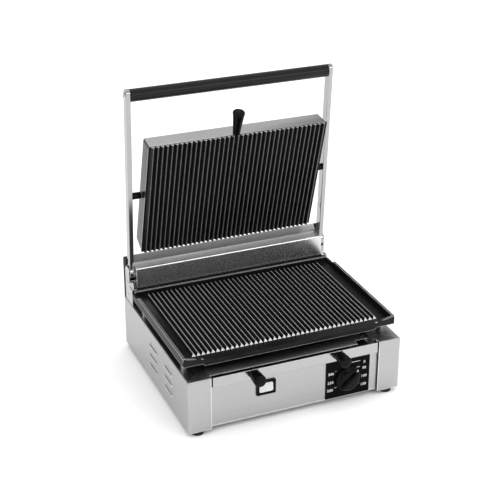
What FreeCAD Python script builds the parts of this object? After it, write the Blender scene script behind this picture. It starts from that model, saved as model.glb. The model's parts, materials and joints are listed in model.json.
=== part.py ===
"""Contact grill (panini press) as an assembly of separate pieces, in millimetres.

Frame: +X to the user's right, +Y to the rear, +Z up.  The origin is on the table, under the middle of
the whole object's footprint.  The grill is drawn with its upper head open.
"""
import FreeCAD, Part
import math
import os

V = FreeCAD.Vector
X = V(1, 0, 0)
Y = V(0, 1, 0)
Z = V(0, 0, 1)

# ---------------------------------------------------------------- driving dimensions
SHEET = 1.2                       # stainless sheet thickness

FOOT_HEIGHT = 8.0
FOOT_RADIUS = 12.0

BODY_WIDTH = 400.0
BODY_DEPTH = 343.0
BODY_HEIGHT = 100.0
BODY_MID_Y = 8.0                  # the body sits back, the drawer knobs reach as far forward

FLANGE = 42.0                     # side cover's front flange
TOP_RETURN = 25.0                 # side cover's top return
REAR_RETURN = 14.0
BOTTOM_RETURN = 36.0
FOLD_RADIUS = 2.0
PANEL_RECESS = 4.5                # front panel behind the flanges

FASCIA_HEIGHT = 20.0              # drip drawer's fascia
KNOB_LENGTH = 28.5
KNOB_SPACING = 160.0

RIB_PITCH = 8.8
RIB_HEIGHT = 5.0
RIB_CREST = 1.6
RIB_ROUND = 0.5                   # height of a rib's rounded top
RIB_VALLEY = 1.0
LOWER_RIBS = 40
UPPER_RIBS = 38

PLATE_HALF_WIDTH = 199.0          # lower plate, over its rim
PLATE_FRONT = -140.0
PLATE_REAR = 129.0
PLATE_CREST = 133.5               # height of the lower rib crests
RIM_TOP = 141.0
RIM_BOTTOM = 124.5
RIM_WALL = 4.0

HEAD_HALF_WIDTH = 170.2
HEAD_TO_REAR = 115.0              # pivot axis to the head's rear edge
HEAD_TO_FRONT = 121.7             # pivot axis to the head's front edge
HEAD_PIVOT_DEPTH = 29.0           # pivot axis behind the rib crests
HEAD_THICKNESS = 41.0
HEAD_TILT = 73.88                 # turn of the open head from lying flat
HEAD_PIVOT = V(0, 147.6, 319.8)   # pivot axis with the grill open

HINGE = V(0, 156.0, 166.0)        # main hinge axis
SHAFT_RADIUS = 6.0
RUNNING = 0.05                    # radial clearance of a running fit

ARM_INNER = 188.3
ARM_THICKNESS = 8.2
ARM_DEPTH = 16.0
ARM_LEAN = 3.79                   # forward lean of the open arms, in degrees
ARM_BOSS_RADIUS = 12.0
GRIP = V(0, 133.0, 513.0)         # axis of the handle grip
GRIP_RADIUS = 11.25

HOUSING_HALF = 187.5
HOUSING_FRONT = 135.0
HOUSING_TOP = 181.0

DIAL_X = 99.5
DIAL_Z = 47.0
SWITCH_X = -57.0
SWITCH_Z = 65.75

# ---------------------------------------------------------------- values that follow from them
BODY_HALF = BODY_WIDTH / 2
BODY_FRONT = BODY_MID_Y - BODY_DEPTH / 2
BODY_REAR = BODY_MID_Y + BODY_DEPTH / 2
BODY_BOTTOM = FOOT_HEIGHT
BODY_TOP = FOOT_HEIGHT + BODY_HEIGHT
PANEL_FRONT = BODY_FRONT + PANEL_RECESS
PANEL_BACK = PANEL_FRONT + SHEET
PANEL_TOP = BODY_TOP - FASCIA_HEIGHT
PANEL_BOTTOM = BODY_BOTTOM + 4.0
ARM_OUTER = ARM_INNER + ARM_THICKNESS
PLATE_FLOOR = PLATE_CREST - RIB_HEIGHT


# ---------------------------------------------------------------- helpers
def box(x0, x1, y0, y1, z0, z1):
    """Box between two corners."""
    return Part.makeBox(x1 - x0, y1 - y0, z1 - z0, V(x0, y0, z0))


def cylinder(radius, start, end):
    """Solid cylinder between two points."""
    run = end.sub(start)
    return Part.makeCylinder(radius, run.Length, start, run)


def cone(radius_start, radius_end, start, end):
    """Solid cone frustum between two points."""
    run = end.sub(start)
    return Part.makeCone(radius_start, radius_end, run.Length, start, run)


def tube(outer, inner, start, end):
    """Round tube between two points."""
    return cylinder(outer, start, end).cut(cylinder(inner, start, end))


def prism(points, direction):
    """Solid swept from a closed flat outline."""
    outline = Part.makePolygon(points + [points[0]])
    return Part.Face(outline).extrude(direction)


def union(shapes):
    """One solid made from touching shapes."""
    return shapes[0].multiFuse(shapes[1:]).removeSplitter()


def mirrored(shape):
    """The shape's mirror image on the other side of the object."""
    return shape.mirror(V(0, 0, 0), X)


def both_sides(shape):
    """The shape and its mirror image, as two solids."""
    return [shape, mirrored(shape)]


def fillet_edges(shape, radius, wanted):
    """Round the straight edges that the test picks out."""
    edges = [edge for edge in shape.Edges if wanted(edge)]
    return shape.makeFillet(radius, edges)


def parallel_to(axis):
    """Test for straight edges along an axis."""
    def test(edge):
        if not isinstance(edge.Curve, Part.Line):
            return False
        return abs(edge.Curve.Direction.dot(axis)) > 0.999
    return test


def swept_tube(points, bend_radius, radius):
    """Round bar that follows straight runs joined by tangent arcs."""
    edges = []
    start = points[0]
    for before, corner, after in zip(points, points[1:], points[2:]):
        arriving = corner.sub(before).normalize()
        leaving = after.sub(corner).normalize()
        turn = arriving.getAngle(leaving)
        setback = bend_radius * math.tan(turn / 2)
        entry = corner.sub(V(arriving).multiply(setback))
        exit_point = corner.add(V(leaving).multiply(setback))
        inward = leaving.sub(arriving).normalize()
        middle = corner.add(inward.multiply(bend_radius / math.cos(turn / 2) - bend_radius))
        if entry.sub(start).Length > 0.001:
            edges.append(Part.LineSegment(start, entry).toShape())
        edges.append(Part.Arc(entry, middle, exit_point).toShape())
        start = exit_point
    edges.append(Part.LineSegment(start, points[-1]).toShape())
    path = Part.Wire(edges)
    heading = points[1].sub(points[0])
    section = Part.Wire(Part.makeCircle(radius, points[0], heading))
    return path.makePipeShell([section], True, True)


def ribbed_slab(count, crest, valley, root, start_y, length):
    """Slab across X with round-topped ribs along Y, which stand from the valley to the crest height."""
    slope = (RIB_PITCH - RIB_CREST - RIB_VALLEY) / 2
    shoulder = crest - math.copysign(RIB_ROUND, crest - valley)
    first = -(count - 1) / 2 * RIB_PITCH
    start = V(first - RIB_CREST / 2 - slope, start_y, valley)
    here = start
    edges = []
    for index in range(count):
        middle = first + index * RIB_PITCH
        left = V(middle - RIB_CREST / 2, start_y, shoulder)
        right = V(middle + RIB_CREST / 2, start_y, shoulder)
        foot = V(middle + RIB_CREST / 2 + slope, start_y, valley)
        edges.append(Part.makeLine(here, left))
        edges.append(Part.Arc(left, V(middle, start_y, crest), right).toShape())
        edges.append(Part.makeLine(right, foot))
        here = foot
        if index < count - 1:
            here = V(foot.x + RIB_VALLEY, start_y, valley)
            edges.append(Part.makeLine(foot, here))
    right_root = V(here.x, start_y, root)
    left_root = V(start.x, start_y, root)
    edges.append(Part.makeLine(here, right_root))
    edges.append(Part.makeLine(right_root, left_root))
    edges.append(Part.makeLine(left_root, start))
    return Part.Face(Part.Wire(edges)).extrude(V(0, length, 0))


def serpentine(x_reach, y_reach, runs, height, terminal_y):
    """Corner points of a heating element bent to and fro, with both ends at the rear (runs is even)."""
    step = 2 * x_reach / (runs - 1)
    points = [V(-x_reach, terminal_y, height)]
    for run in range(runs):
        x = -x_reach + run * step
        start = y_reach if run % 2 == 0 else -y_reach
        if run > 0:
            points.append(V(x, start, height))
        points.append(V(x, -start, height))
    points[-1] = V(x_reach, terminal_y, height)
    return points


def open_head(shape):
    """Move a piece of the upper head from lying flat about its pivot to the open position."""
    moved = shape.copy()
    moved.rotate(V(0, 0, 0), X, -HEAD_TILT)
    moved.translate(HEAD_PIVOT)
    return moved


NODES = []


def save(name, shape):
    """Write one node; a list of solids becomes a group."""
    solids = shape if isinstance(shape, list) else [shape]
    flat = [solid for item in solids for solid in item.Solids]
    for solid in flat:
        if not solid.isValid() or not solid.isClosed():
            print("BAD SOLID", name)
    result = flat[0] if len(flat) == 1 else Part.makeCompound(flat)
    result.exportStep("parts/" + name + ".step")
    NODES.append(name)
    return result


# ---------------------------------------------------------------- body shell
LOUVRE_LENGTH = 38.0
LOUVRE_HEIGHT = 5.0
LOUVRE_BULGE = 2.5
LOUVRE_MIDDLES = (-68.0, 12.0)    # along the side
LOUVRE_ROWS = (78.0, 58.0, 38.0)  # height of each louvre's open lower edge
MITRE_START = 4.0                 # closed part of the mitre, from the outer corner
MITRE_GAP = 0.4
COVER_SCREW_Y = (-60.0, 20.0, 100.0)
COVER_SCREW_X = 190.0
FOOT_X = BODY_HALF - 20.0
FOOT_Y = (BODY_FRONT + 11.5, BODY_REAR - 11.5)
SPACER_X = 187.0
SPACER_Y = (-110.0, 96.0)
SCREW_RADIUS = 2.0
BOLT_RADIUS = 2.5
PAN_BOTTOM = BODY_BOTTOM + SHEET
PAN_TOP = PAN_BOTTOM + SHEET
GLAND = V(-140.0, BODY_REAR, 40.0)
GLAND_NECK = 8.0
CABLE_BORE = 4.5


def louvre(middle, low):
    """Pressed hood on the left side, open at its lower edge, and the slot behind it."""
    y0 = middle - LOUVRE_LENGTH / 2
    wall = -BODY_HALF

    def hood(skin):
        """Quarter-round bar whose skin lies inside the hood's outer face by the given depth."""
        reach = LOUVRE_BULGE - skin
        rise = LOUVRE_HEIGHT - skin
        foot = V(wall - reach, y0 + skin, low)
        crown = V(wall, y0 + skin, low + rise)
        between = V(wall - reach * 0.72, y0 + skin, low + rise * 0.72)
        arc = Part.Arc(foot, between, crown).toShape()
        down = Part.makeLine(crown, V(wall + SHEET, y0 + skin, low + rise))
        inner = Part.makeLine(V(wall + SHEET, y0 + skin, low + rise), V(wall + SHEET, y0 + skin, low))
        base = Part.makeLine(V(wall + SHEET, y0 + skin, low), foot)
        outline = Part.Wire([arc, down, inner, base])
        return Part.Face(outline).extrude(V(0, LOUVRE_LENGTH - 2 * skin, 0))

    return hood(0.0), hood(0.9)


def side_cover():
    """Left side cover: one folded sheet with a front flange, top return, rear return and bottom return."""
    x0 = -BODY_HALF
    outer = box(x0, x0 + 80, BODY_FRONT, BODY_REAR, BODY_BOTTOM, BODY_TOP)
    outer = fillet_edges(outer, FOLD_RADIUS, lambda edge: edge.CenterOfMass.x < x0 + 1 or (
        edge.CenterOfMass.z > BODY_TOP - 1 and edge.CenterOfMass.y < BODY_FRONT + 1))
    inner = box(x0 + SHEET, x0 + 81, BODY_FRONT + SHEET, BODY_REAR - SHEET, BODY_BOTTOM + SHEET,
                BODY_TOP - SHEET)
    inner_radius = FOLD_RADIUS - SHEET
    inner = fillet_edges(inner, inner_radius, lambda edge: edge.CenterOfMass.x < x0 + SHEET + 1 or (
        edge.CenterOfMass.z > BODY_TOP - SHEET - 1 and edge.CenterOfMass.y < BODY_FRONT + SHEET + 1))
    cover = outer.cut(inner)
    cuts = [
        box(x0 + FLANGE, x0 + 90, BODY_FRONT - 1, BODY_REAR + 1, 0, BODY_TOP + 1),
        box(x0 + TOP_RETURN, x0 + FLANGE + 1, BODY_FRONT + TOP_RETURN, BODY_REAR - 5, BODY_TOP - 5,
            BODY_TOP + 1),
        box(x0 + REAR_RETURN, x0 + FLANGE + 1, BODY_REAR - 5, BODY_REAR + 1, BODY_BOTTOM - 1, BODY_TOP + 1),
        box(x0 + BOTTOM_RETURN, x0 + FLANGE + 1, BODY_FRONT + 5, BODY_REAR + 1, BODY_BOTTOM - 1,
            BODY_BOTTOM + 5),
    ]
    mitre_end = TOP_RETURN * math.sqrt(2) + 2.0
    mitre = box(MITRE_START, mitre_end, -MITRE_GAP / 2, MITRE_GAP / 2, BODY_TOP - 3, BODY_TOP + 1)
    mitre.rotate(V(0, 0, 0), Z, 45)
    mitre.translate(V(x0, BODY_FRONT, 0))
    cuts.append(mitre)
    for y in COVER_SCREW_Y:
        cuts.append(cylinder(SCREW_RADIUS, V(-COVER_SCREW_X, y, 0), V(-COVER_SCREW_X, y, BODY_BOTTOM + 5)))
    for y in FOOT_Y:
        cuts.append(cylinder(BOLT_RADIUS, V(-FOOT_X, y, 0), V(-FOOT_X, y, BODY_BOTTOM + 5)))
    for y in SPACER_Y:
        cuts.append(cylinder(BOLT_RADIUS, V(-SPACER_X, y, BODY_TOP - 5), V(-SPACER_X, y, BODY_TOP + 1)))
    cover = cover.cut(cuts)
    hoods = []
    hollows = []
    for middle in LOUVRE_MIDDLES:
        for row in LOUVRE_ROWS:
            hood, hollow = louvre(middle, row)
            hoods.append(hood)
            hollows.append(hollow)
    return cover.fuse(hoods).cut(hollows).removeSplitter()


def front_panel():
    """Recessed front sheet with the holes for the switch and the thermostat's neck."""
    panel = box(-172, 172, PANEL_FRONT, PANEL_BACK, PANEL_BOTTOM, PANEL_TOP)
    switch_hole = box(SWITCH_X - 15.1, SWITCH_X + 15.1, PANEL_FRONT - 1, PANEL_BACK + 1,
                      SWITCH_Z - 11.3, SWITCH_Z + 11.3)
    neck_hole = cylinder(5.5, V(DIAL_X, PANEL_FRONT - 1, DIAL_Z), V(DIAL_X, PANEL_BACK + 1, DIAL_Z))
    return panel.cut([switch_hole, neck_hole])


def rear_panel():
    """Rear sheet with vent slots and the cable hole, and a top flange that carries the hinge."""
    half = BODY_HALF - REAR_RETURN - 0.2
    panel = box(-half, half, BODY_REAR - SHEET, BODY_REAR, PANEL_BOTTOM, BODY_TOP)
    flange_half = BODY_HALF - TOP_RETURN - 0.5
    flange = box(-flange_half, flange_half, HOUSING_FRONT - 2, BODY_REAR - SHEET / 2, BODY_TOP - SHEET,
                 BODY_TOP)
    cuts = [cylinder(GLAND_NECK, GLAND.add(V(0, -5, 0)), GLAND.add(V(0, 5, 0)))]
    for row in range(4):
        for column in range(5):
            x = 20 + column * 30
            z = 50 + row * 10
            slot = box(x - 10, x + 10, BODY_REAR - 5, BODY_REAR + 5, z - 1.5, z + 1.5)
            cuts.append(fillet_edges(slot, 1.4, parallel_to(Y)))
    return union([panel, flange]).cut(cuts)


def base_pan():
    """Bottom sheet with turned-up front and rear edges and vent slots."""
    half = BODY_HALF - SHEET - 1.0
    front = PANEL_BACK + 0.2
    rear = BODY_REAR - SHEET - 0.2
    sheet = box(-half, half, front, rear, PAN_BOTTOM, PAN_TOP)
    front_edge = box(-half + 4, half - 4, front, front + SHEET, PAN_BOTTOM, PAN_TOP + 10)
    rear_edge = box(-half + 4, half - 4, rear - SHEET, rear, PAN_BOTTOM, PAN_TOP + 10)
    cuts = []
    for side in (-1, 1):
        for y in COVER_SCREW_Y:
            cuts.append(cylinder(SCREW_RADIUS, V(side * COVER_SCREW_X, y, 0), V(side * COVER_SCREW_X, y, 20)))
        for y in FOOT_Y:
            cuts.append(cylinder(BOLT_RADIUS, V(side * FOOT_X, y, 0), V(side * FOOT_X, y, 20)))
    for row in range(7):
        for column in range(4):
            x = -90 + column * 60
            y = -70 + row * 22
            slot = box(x - 20, x + 20, y - 2.5, y + 2.5, 0, 20)
            cuts.append(fillet_edges(slot, 2.4, parallel_to(Z)))
    return union([sheet, front_edge, rear_edge]).cut(cuts)


def feet_and_screws():
    """Four rubber feet and the screws through them."""
    feet = []
    screws = []
    for side in (-1, 1):
        for y in FOOT_Y:
            x = side * FOOT_X
            foot = cone(FOOT_RADIUS - 1.5, FOOT_RADIUS, V(x, y, 0), V(x, y, FOOT_HEIGHT))
            sole = Part.Circle(V(x, y, 0), Z, FOOT_RADIUS - 1.5).toShape()
            foot = foot.makeFillet(1.0, [edge for edge in foot.Edges
                                         if edge.CenterOfMass.z < 0.1 and edge.Length > 0.99 * sole.Length])
            foot = foot.cut([cylinder(5.0, V(x, y, -1), V(x, y, 4.5)),
                             cylinder(BOLT_RADIUS, V(x, y, 4), V(x, y, FOOT_HEIGHT + 1))])
            feet.append(foot)
            head = cylinder(4.5, V(x, y, 1.8), V(x, y, 4.5))
            shank = cylinder(BOLT_RADIUS, V(x, y, 4.5), V(x, y, 14))
            screws.append(union([head, shank]))
    return feet, screws


def cover_screws():
    """Screws up through the covers' bottom returns into the base pan."""
    screws = []
    for side in (-1, 1):
        for y in COVER_SCREW_Y:
            x = side * COVER_SCREW_X
            head = cone(3.0, 4.0, V(x, y, BODY_BOTTOM - 1.8), V(x, y, BODY_BOTTOM))
            shank = cylinder(SCREW_RADIUS, V(x, y, BODY_BOTTOM), V(x, y, 15))
            screws.append(union([head, shank]))
    return screws


def cable_gland():
    """Screwed gland for the supply cable, its inside nut, and the terminal block by it."""
    y = GLAND.y
    neck = cylinder(GLAND_NECK, V(GLAND.x, y - 9.5, GLAND.z), V(GLAND.x, y, GLAND.z))
    collar = cylinder(11.0, V(GLAND.x, y, GLAND.z), V(GLAND.x, y + 6.5, GLAND.z))
    dome = cone(10.0, 7.5, V(GLAND.x, y + 6.5, GLAND.z), V(GLAND.x, y + 12.5, GLAND.z))
    bore = cylinder(CABLE_BORE, V(GLAND.x, y - 20, GLAND.z), V(GLAND.x, y + 20, GLAND.z))
    gland = union([neck, collar, dome]).cut(bore)
    nut_points = [V(GLAND.x + 12 * math.cos(math.radians(60 * k)), y - SHEET - 4,
                    GLAND.z + 12 * math.sin(math.radians(60 * k))) for k in range(6)]
    nut = prism(nut_points, V(0, 4, 0)).cut(cylinder(GLAND_NECK, V(GLAND.x, y - 20, GLAND.z),
                                                    V(GLAND.x, y, GLAND.z)))
    return gland, nut


def terminal_block():
    """Row of three mains terminals on the base pan."""
    body = box(-176, -122, 124, 144, PAN_TOP, PAN_TOP + 20)
    cuts = []
    for x in (-167, -149, -131):
        cuts.append(cylinder(3.2, V(x, 134, PAN_TOP + 8), V(x, 134, PAN_TOP + 25)))
        cuts.append(cylinder(2.6, V(x, 120, PAN_TOP + 7), V(x, 150, PAN_TOP + 7)))
    for x in (-158, -140):
        cuts.append(box(x - 1, x + 1, 120, 150, PAN_TOP + 12, PAN_TOP + 25))
    return body.cut(cuts)


# ---------------------------------------------------------------- lower plate and its heating
CORE_HALF = 168.0                 # thick middle of the lower casting
CORE_BOTTOM = 118.0
LOWER_RIB_FRONT = -118.0
LOWER_RIB_REAR = 120.0
LIP_TOP = 129.0                   # low front edge where fat runs off
LIP_HALF = 143.0
SKIRT_HALF = 160.0                # deeper middle of the front rim
SKIRT_BOTTOM = 120.5
ELEMENT_RADIUS = 4.0
CLAMP_Y = (-40.0, 40.0)
CLAMP_BOLT_X = (-112.0, 0.0, 112.0)


def lower_plate():
    """Cast-iron griddle: ribs, a raised rim on three sides and a low lip in front."""
    floor = box(-PLATE_HALF_WIDTH, PLATE_HALF_WIDTH, PLATE_FRONT, PLATE_REAR, RIM_BOTTOM, PLATE_FLOOR)
    core = box(-CORE_HALF, CORE_HALF, LOWER_RIB_FRONT - 6, LOWER_RIB_REAR + 2, CORE_BOTTOM, RIM_BOTTOM + 1)
    core = fillet_edges(core, 4.0, lambda edge: edge.CenterOfMass.z < CORE_BOTTOM + 0.1)
    ribs = ribbed_slab(LOWER_RIBS, PLATE_CREST, PLATE_FLOOR, PLATE_FLOOR - 2, LOWER_RIB_FRONT,
                       LOWER_RIB_REAR - LOWER_RIB_FRONT)
    bevel = prism([V(-PLATE_HALF_WIDTH, LOWER_RIB_FRONT - 1, PLATE_FLOOR),
                   V(-PLATE_HALF_WIDTH, LOWER_RIB_FRONT, PLATE_FLOOR),
                   V(-PLATE_HALF_WIDTH, LOWER_RIB_FRONT + 3.5, PLATE_CREST + 1),
                   V(-PLATE_HALF_WIDTH, LOWER_RIB_FRONT - 1, PLATE_CREST + 1)],
                  V(2 * PLATE_HALF_WIDTH, 0, 0))
    ribs = ribs.cut(bevel)
    side_profile = [(PLATE_FRONT, RIM_BOTTOM), (PLATE_FRONT, RIM_TOP), (96, RIM_TOP), (104, RIM_TOP - 6),
                    (PLATE_REAR, RIM_TOP - 6), (PLATE_REAR, RIM_BOTTOM)]
    left_rim = prism([V(-PLATE_HALF_WIDTH, y, z) for y, z in side_profile], V(RIM_WALL, 0, 0))
    right_rim = mirrored(left_rim)
    rear_rim = box(-PLATE_HALF_WIDTH + RIM_WALL, PLATE_HALF_WIDTH - RIM_WALL, PLATE_REAR - RIM_WALL,
                   PLATE_REAR, RIM_BOTTOM, RIM_TOP - 2)
    shoulder = SKIRT_HALF + RIM_BOTTOM - SKIRT_BOTTOM
    front_outline = [(-PLATE_HALF_WIDTH, RIM_BOTTOM), (-shoulder, RIM_BOTTOM), (-SKIRT_HALF, SKIRT_BOTTOM),
                     (SKIRT_HALF, SKIRT_BOTTOM), (shoulder, RIM_BOTTOM), (PLATE_HALF_WIDTH, RIM_BOTTOM),
                     (PLATE_HALF_WIDTH, RIM_TOP), (LIP_HALF, LIP_TOP),
                     (-LIP_HALF, LIP_TOP), (-PLATE_HALF_WIDTH, RIM_TOP)]
    front_rim = prism([V(x, PLATE_FRONT, z) for x, z in front_outline], V(0, RIM_WALL, 0))
    plate = union([floor, core, ribs, left_rim, right_rim, rear_rim, front_rim])
    holes = []
    for side in (-1, 1):
        for y in SPACER_Y:
            x = side * SPACER_X
            holes.append(cylinder(BOLT_RADIUS, V(x, y, RIM_BOTTOM - 1), V(x, y, PLATE_FLOOR - 1)))
    for x in CLAMP_BOLT_X:
        for y in CLAMP_Y:
            holes.append(cylinder(BOLT_RADIUS, V(x, y, CORE_BOTTOM - 1), V(x, y, CORE_BOTTOM + 6)))
    return plate.cut(holes)


def plate_mounting():
    """Spacers that hold the plate above the covers, and the bolts through them."""
    spacers = []
    bolts = []
    for side in (-1, 1):
        for y in SPACER_Y:
            x = side * SPACER_X
            spacers.append(tube(5.5, BOLT_RADIUS, V(x, y, BODY_TOP), V(x, y, RIM_BOTTOM)))
            under = BODY_TOP - SHEET
            head = cylinder(4.5, V(x, y, under - 4), V(x, y, under))
            shank = cylinder(BOLT_RADIUS, V(x, y, under), V(x, y, PLATE_FLOOR - 1.5))
            bolts.append(union([head, shank]))
    return spacers, bolts


def lower_element():
    """Sheathed heating element under the lower plate."""
    height = CORE_BOTTOM - ELEMENT_RADIUS - 0.1
    return swept_tube(serpentine(140, 88, 6, height, 118), 26.0, ELEMENT_RADIUS)


def element_clamps():
    """Two bars that hold the element against the plate, and their bolts."""
    top = CORE_BOTTOM - 2 * ELEMENT_RADIUS - 0.2
    bars = []
    bolts = []
    for y in CLAMP_Y:
        bar = box(-150, 150, y - 6, y + 6, top - 2.5, top)
        holes = [cylinder(BOLT_RADIUS, V(x, y, top - 5), V(x, y, top + 5)) for x in CLAMP_BOLT_X]
        bars.append(bar.cut(holes))
        for x in CLAMP_BOLT_X:
            head = cylinder(4.0, V(x, y, top - 5), V(x, y, top - 2.5))
            shank = cylinder(BOLT_RADIUS, V(x, y, top - 2.5), V(x, y, CORE_BOTTOM + 5))
            bolts.append(union([head, shank]))
    return bars, bolts


SHIELD_TOP = 103.2
SHIELD_REAR = 125.0
RAIL_X = 152.0
CHUTE_LEFT = -157.0
CHUTE_RIGHT = 120.0               # short of the thermostat's side
CHUTE_BACK = (-134.0, 110.4)      # (y, z) of its upper edge
CHUTE_FRONT = (-154.0, 107.8)     # (y, z) of its lower edge, over the drawer


def heat_shield():
    """Sheet between the element and the drip drawer, with a chute in front that leads fat to the drawer."""
    back_y, back_z = CHUTE_BACK
    front_y, front_z = CHUTE_FRONT
    sheet = box(-RAIL_X, RAIL_X, back_y, SHIELD_REAR, SHIELD_TOP - SHEET, SHIELD_TOP)
    rear_turn = box(-RAIL_X, RAIL_X, SHIELD_REAR - SHEET, SHIELD_REAR, SHIELD_TOP - 12, SHIELD_TOP)
    riser = box(-RAIL_X + 0.5, CHUTE_RIGHT, back_y, back_y + SHEET, SHIELD_TOP - SHEET, back_z)
    chute = prism([V(CHUTE_LEFT, back_y + SHEET, back_z), V(CHUTE_LEFT, back_y, back_z),
                   V(CHUTE_LEFT, front_y, front_z), V(CHUTE_LEFT, front_y, front_z - SHEET),
                   V(CHUTE_LEFT, back_y, back_z - SHEET), V(CHUTE_LEFT, back_y + SHEET, back_z - SHEET)],
                  V(CHUTE_RIGHT - CHUTE_LEFT, 0, 0))
    return union([sheet, rear_turn, riser, chute])


def thermostat_sensor():
    """Sensor bulb clipped under the plate's front and its capillary to the thermostat."""
    y = -108.0
    bulb = cylinder(3.0, V(-30, y, CORE_BOTTOM - 3.1), V(30, y, CORE_BOTTOM - 3.1))
    path = [V(29, y, CORE_BOTTOM - 3.1), V(164, y, CORE_BOTTOM - 3.1), V(164, y, 50), V(119.5, y, 50)]
    capillary = swept_tube(path, 10.0, 1.2)
    return union([bulb, capillary])


def drawer_rail():
    """Left rail that hangs from the cover's top return and carries the drawer's side flange."""
    under = BODY_TOP - SHEET
    rear = 60.0
    front = -150.0
    ledge = box(-RAIL_X - SHEET, -147.5, front, rear, 98.0, 99.2)
    web = box(-RAIL_X - SHEET, -RAIL_X, front, rear, 98.0, under)
    flange = box(-182, -RAIL_X, front, rear, under - SHEET, under)
    notch = box(-169, -159, -113, -103, under - 5, under + 5)
    return union([ledge, web, flange]).cut(notch)


# ---------------------------------------------------------------- hinge
HOUSING_SEAM = 159.0
BLOCK_X = (150.0, 172.0)
BUSH_RADIUS = 9.0
SPRING_MEAN_RADIUS = 9.8
SPRING_WIRE = 1.5
SPRING_PITCH = 3.6
SPRING_TURNS = 14
SPRING_START = 88.0


def hinge_housing():
    """Polished front part of the housing across the back of the grill."""
    half = HOUSING_HALF
    outer = box(-half, half, HOUSING_FRONT, HOUSING_SEAM, BODY_TOP, HOUSING_TOP)
    outer = fillet_edges(outer, 3.0, lambda edge: edge.CenterOfMass.z > HOUSING_TOP - 0.1
                         and edge.CenterOfMass.y < HOUSING_FRONT + 0.1)
    inner = box(-half + SHEET, half - SHEET, HOUSING_FRONT + SHEET, HOUSING_SEAM + 1, BODY_TOP - 1,
                HOUSING_TOP - SHEET)
    inner = fillet_edges(inner, 3.0 - SHEET, lambda edge: edge.CenterOfMass.z > HOUSING_TOP - SHEET - 0.1
                         and edge.CenterOfMass.y < HOUSING_FRONT + SHEET + 0.1)
    return outer.cut([inner, cylinder(7.5, V(-200, HINGE.y, HINGE.z), V(200, HINGE.y, HINGE.z))])


COVER_RISE = 10.0                 # from the housing's flat top to the cover's rear ridge


def hinge_cover():
    """Satin rear part of the housing, with a top that rises towards the back."""
    def profile(x, inset):
        """Outline of the cover in the YZ plane, moved in by the sheet's thickness."""
        front = HOUSING_SEAM - (1.0 if inset else 0.0)
        base = BODY_TOP - (1.0 if inset else 0.0)
        rear = BODY_REAR - inset
        top = HOUSING_TOP - inset
        return [V(x, front, base), V(x, rear, base), V(x, rear, top + COVER_RISE - 4),
                V(x, rear - 5 + inset / 2, top + COVER_RISE), V(x, front, top)]

    half = HOUSING_HALF
    outer = prism(profile(-half, 0), V(2 * half, 0, 0))
    inner = prism(profile(-half + SHEET, SHEET), V(2 * (half - SHEET), 0, 0))
    return outer.cut([inner, cylinder(7.5, V(-200, HINGE.y, HINGE.z), V(200, HINGE.y, HINGE.z))])


BRACKET_FRONT = 131.0
BRACKET_REAR = 168.0
BRACKET_FOOT_TOP = 141.0
GUSSET_FRONT = 146.0


def hinge_bracket():
    """Left foot behind the plate's rim, with a gusset outside the arm and a pedestal under its boss."""
    x0 = -ARM_OUTER - 2.5
    x1 = -ARM_OUTER - 0.5
    foot = box(x0, -ARM_INNER, BRACKET_FRONT, BRACKET_REAR, BODY_TOP, BRACKET_FOOT_TOP)
    foot = fillet_edges(foot, 1.5, lambda edge: edge.CenterOfMass.z > BRACKET_FOOT_TOP - 0.1
                        and edge.CenterOfMass.x < x0 + 0.1)
    gusset = prism([V(x0, GUSSET_FRONT, BODY_TOP + 5), V(x0, BRACKET_REAR, BODY_TOP + 5), V(x0, BRACKET_REAR, 170),
                    V(x0, 162, 178), V(x0, 151, 178), V(x0, GUSSET_FRONT, 172)], V(x1 - x0, 0, 0))
    pedestal = box(x0, -ARM_INNER, GUSSET_FRONT, BRACKET_REAR, BODY_TOP, HINGE.z - ARM_BOSS_RADIUS - 1.0)
    holes = [cylinder(2.0, V(x0 - 1, y, z), V(-ARM_INNER - 2, y, z)) for y, z in gusset_bolt_places()]
    return union([foot, gusset, pedestal]).cut(holes)


def gusset_bolt_places():
    """Where the gusset is bolted to its pedestal."""
    return [(157.0, 147.5), (157.0, 120.0)]


def gusset_bolts():
    """Low-headed bolts through each gusset into its pedestal."""
    x0 = -ARM_OUTER - 2.5
    bolts = []
    for y, z in gusset_bolt_places():
        head = cone(2.6, 3.4, V(x0 - 1.0, y, z), V(x0, y, z))
        shank = cylinder(2.0, V(x0, y, z), V(-ARM_INNER - 2, y, z))
        bolt = union([head, shank])
        bolts.extend(both_sides(bolt))
    return bolts


def arm_stop():
    """Left upright behind the arm, with a nose that the open arm rests on."""
    nose_front = 163.4
    outline = [V(0, 168.6, BODY_TOP), V(0, BODY_REAR, BODY_TOP), V(0, BODY_REAR, 186),
               V(0, BODY_REAR - 4, 190), V(0, nose_front, 190), V(0, nose_front, 180), V(0, 168.6, 175)]
    stop = prism(outline, V(10.5, 0, 0))
    stop.translate(V(-ARM_INNER - 10.5, 0, 0))
    return stop


def bearing_block():
    """Left block that holds the shaft's bush."""
    block = box(-BLOCK_X[1], -BLOCK_X[0], 143, 169, BODY_TOP, 178)
    block = fillet_edges(block, 6.0, lambda edge: edge.CenterOfMass.z > 177 and parallel_to(X)(edge))
    return block.cut(cylinder(BUSH_RADIUS, V(-200, HINGE.y, HINGE.z), V(0, HINGE.y, HINGE.z)))


def bearing_bush():
    """Left flanged bronze bush."""
    body = cylinder(BUSH_RADIUS, V(-BLOCK_X[1] - 0.5, HINGE.y, HINGE.z), V(-BLOCK_X[0], HINGE.y, HINGE.z))
    flange = cylinder(11.0, V(-BLOCK_X[1] - 2.5, HINGE.y, HINGE.z), V(-BLOCK_X[1], HINGE.y, HINGE.z))
    bore = cylinder(SHAFT_RADIUS + RUNNING, V(-200, HINGE.y, HINGE.z), V(0, HINGE.y, HINGE.z))
    return union([body, flange]).cut(bore)


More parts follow.
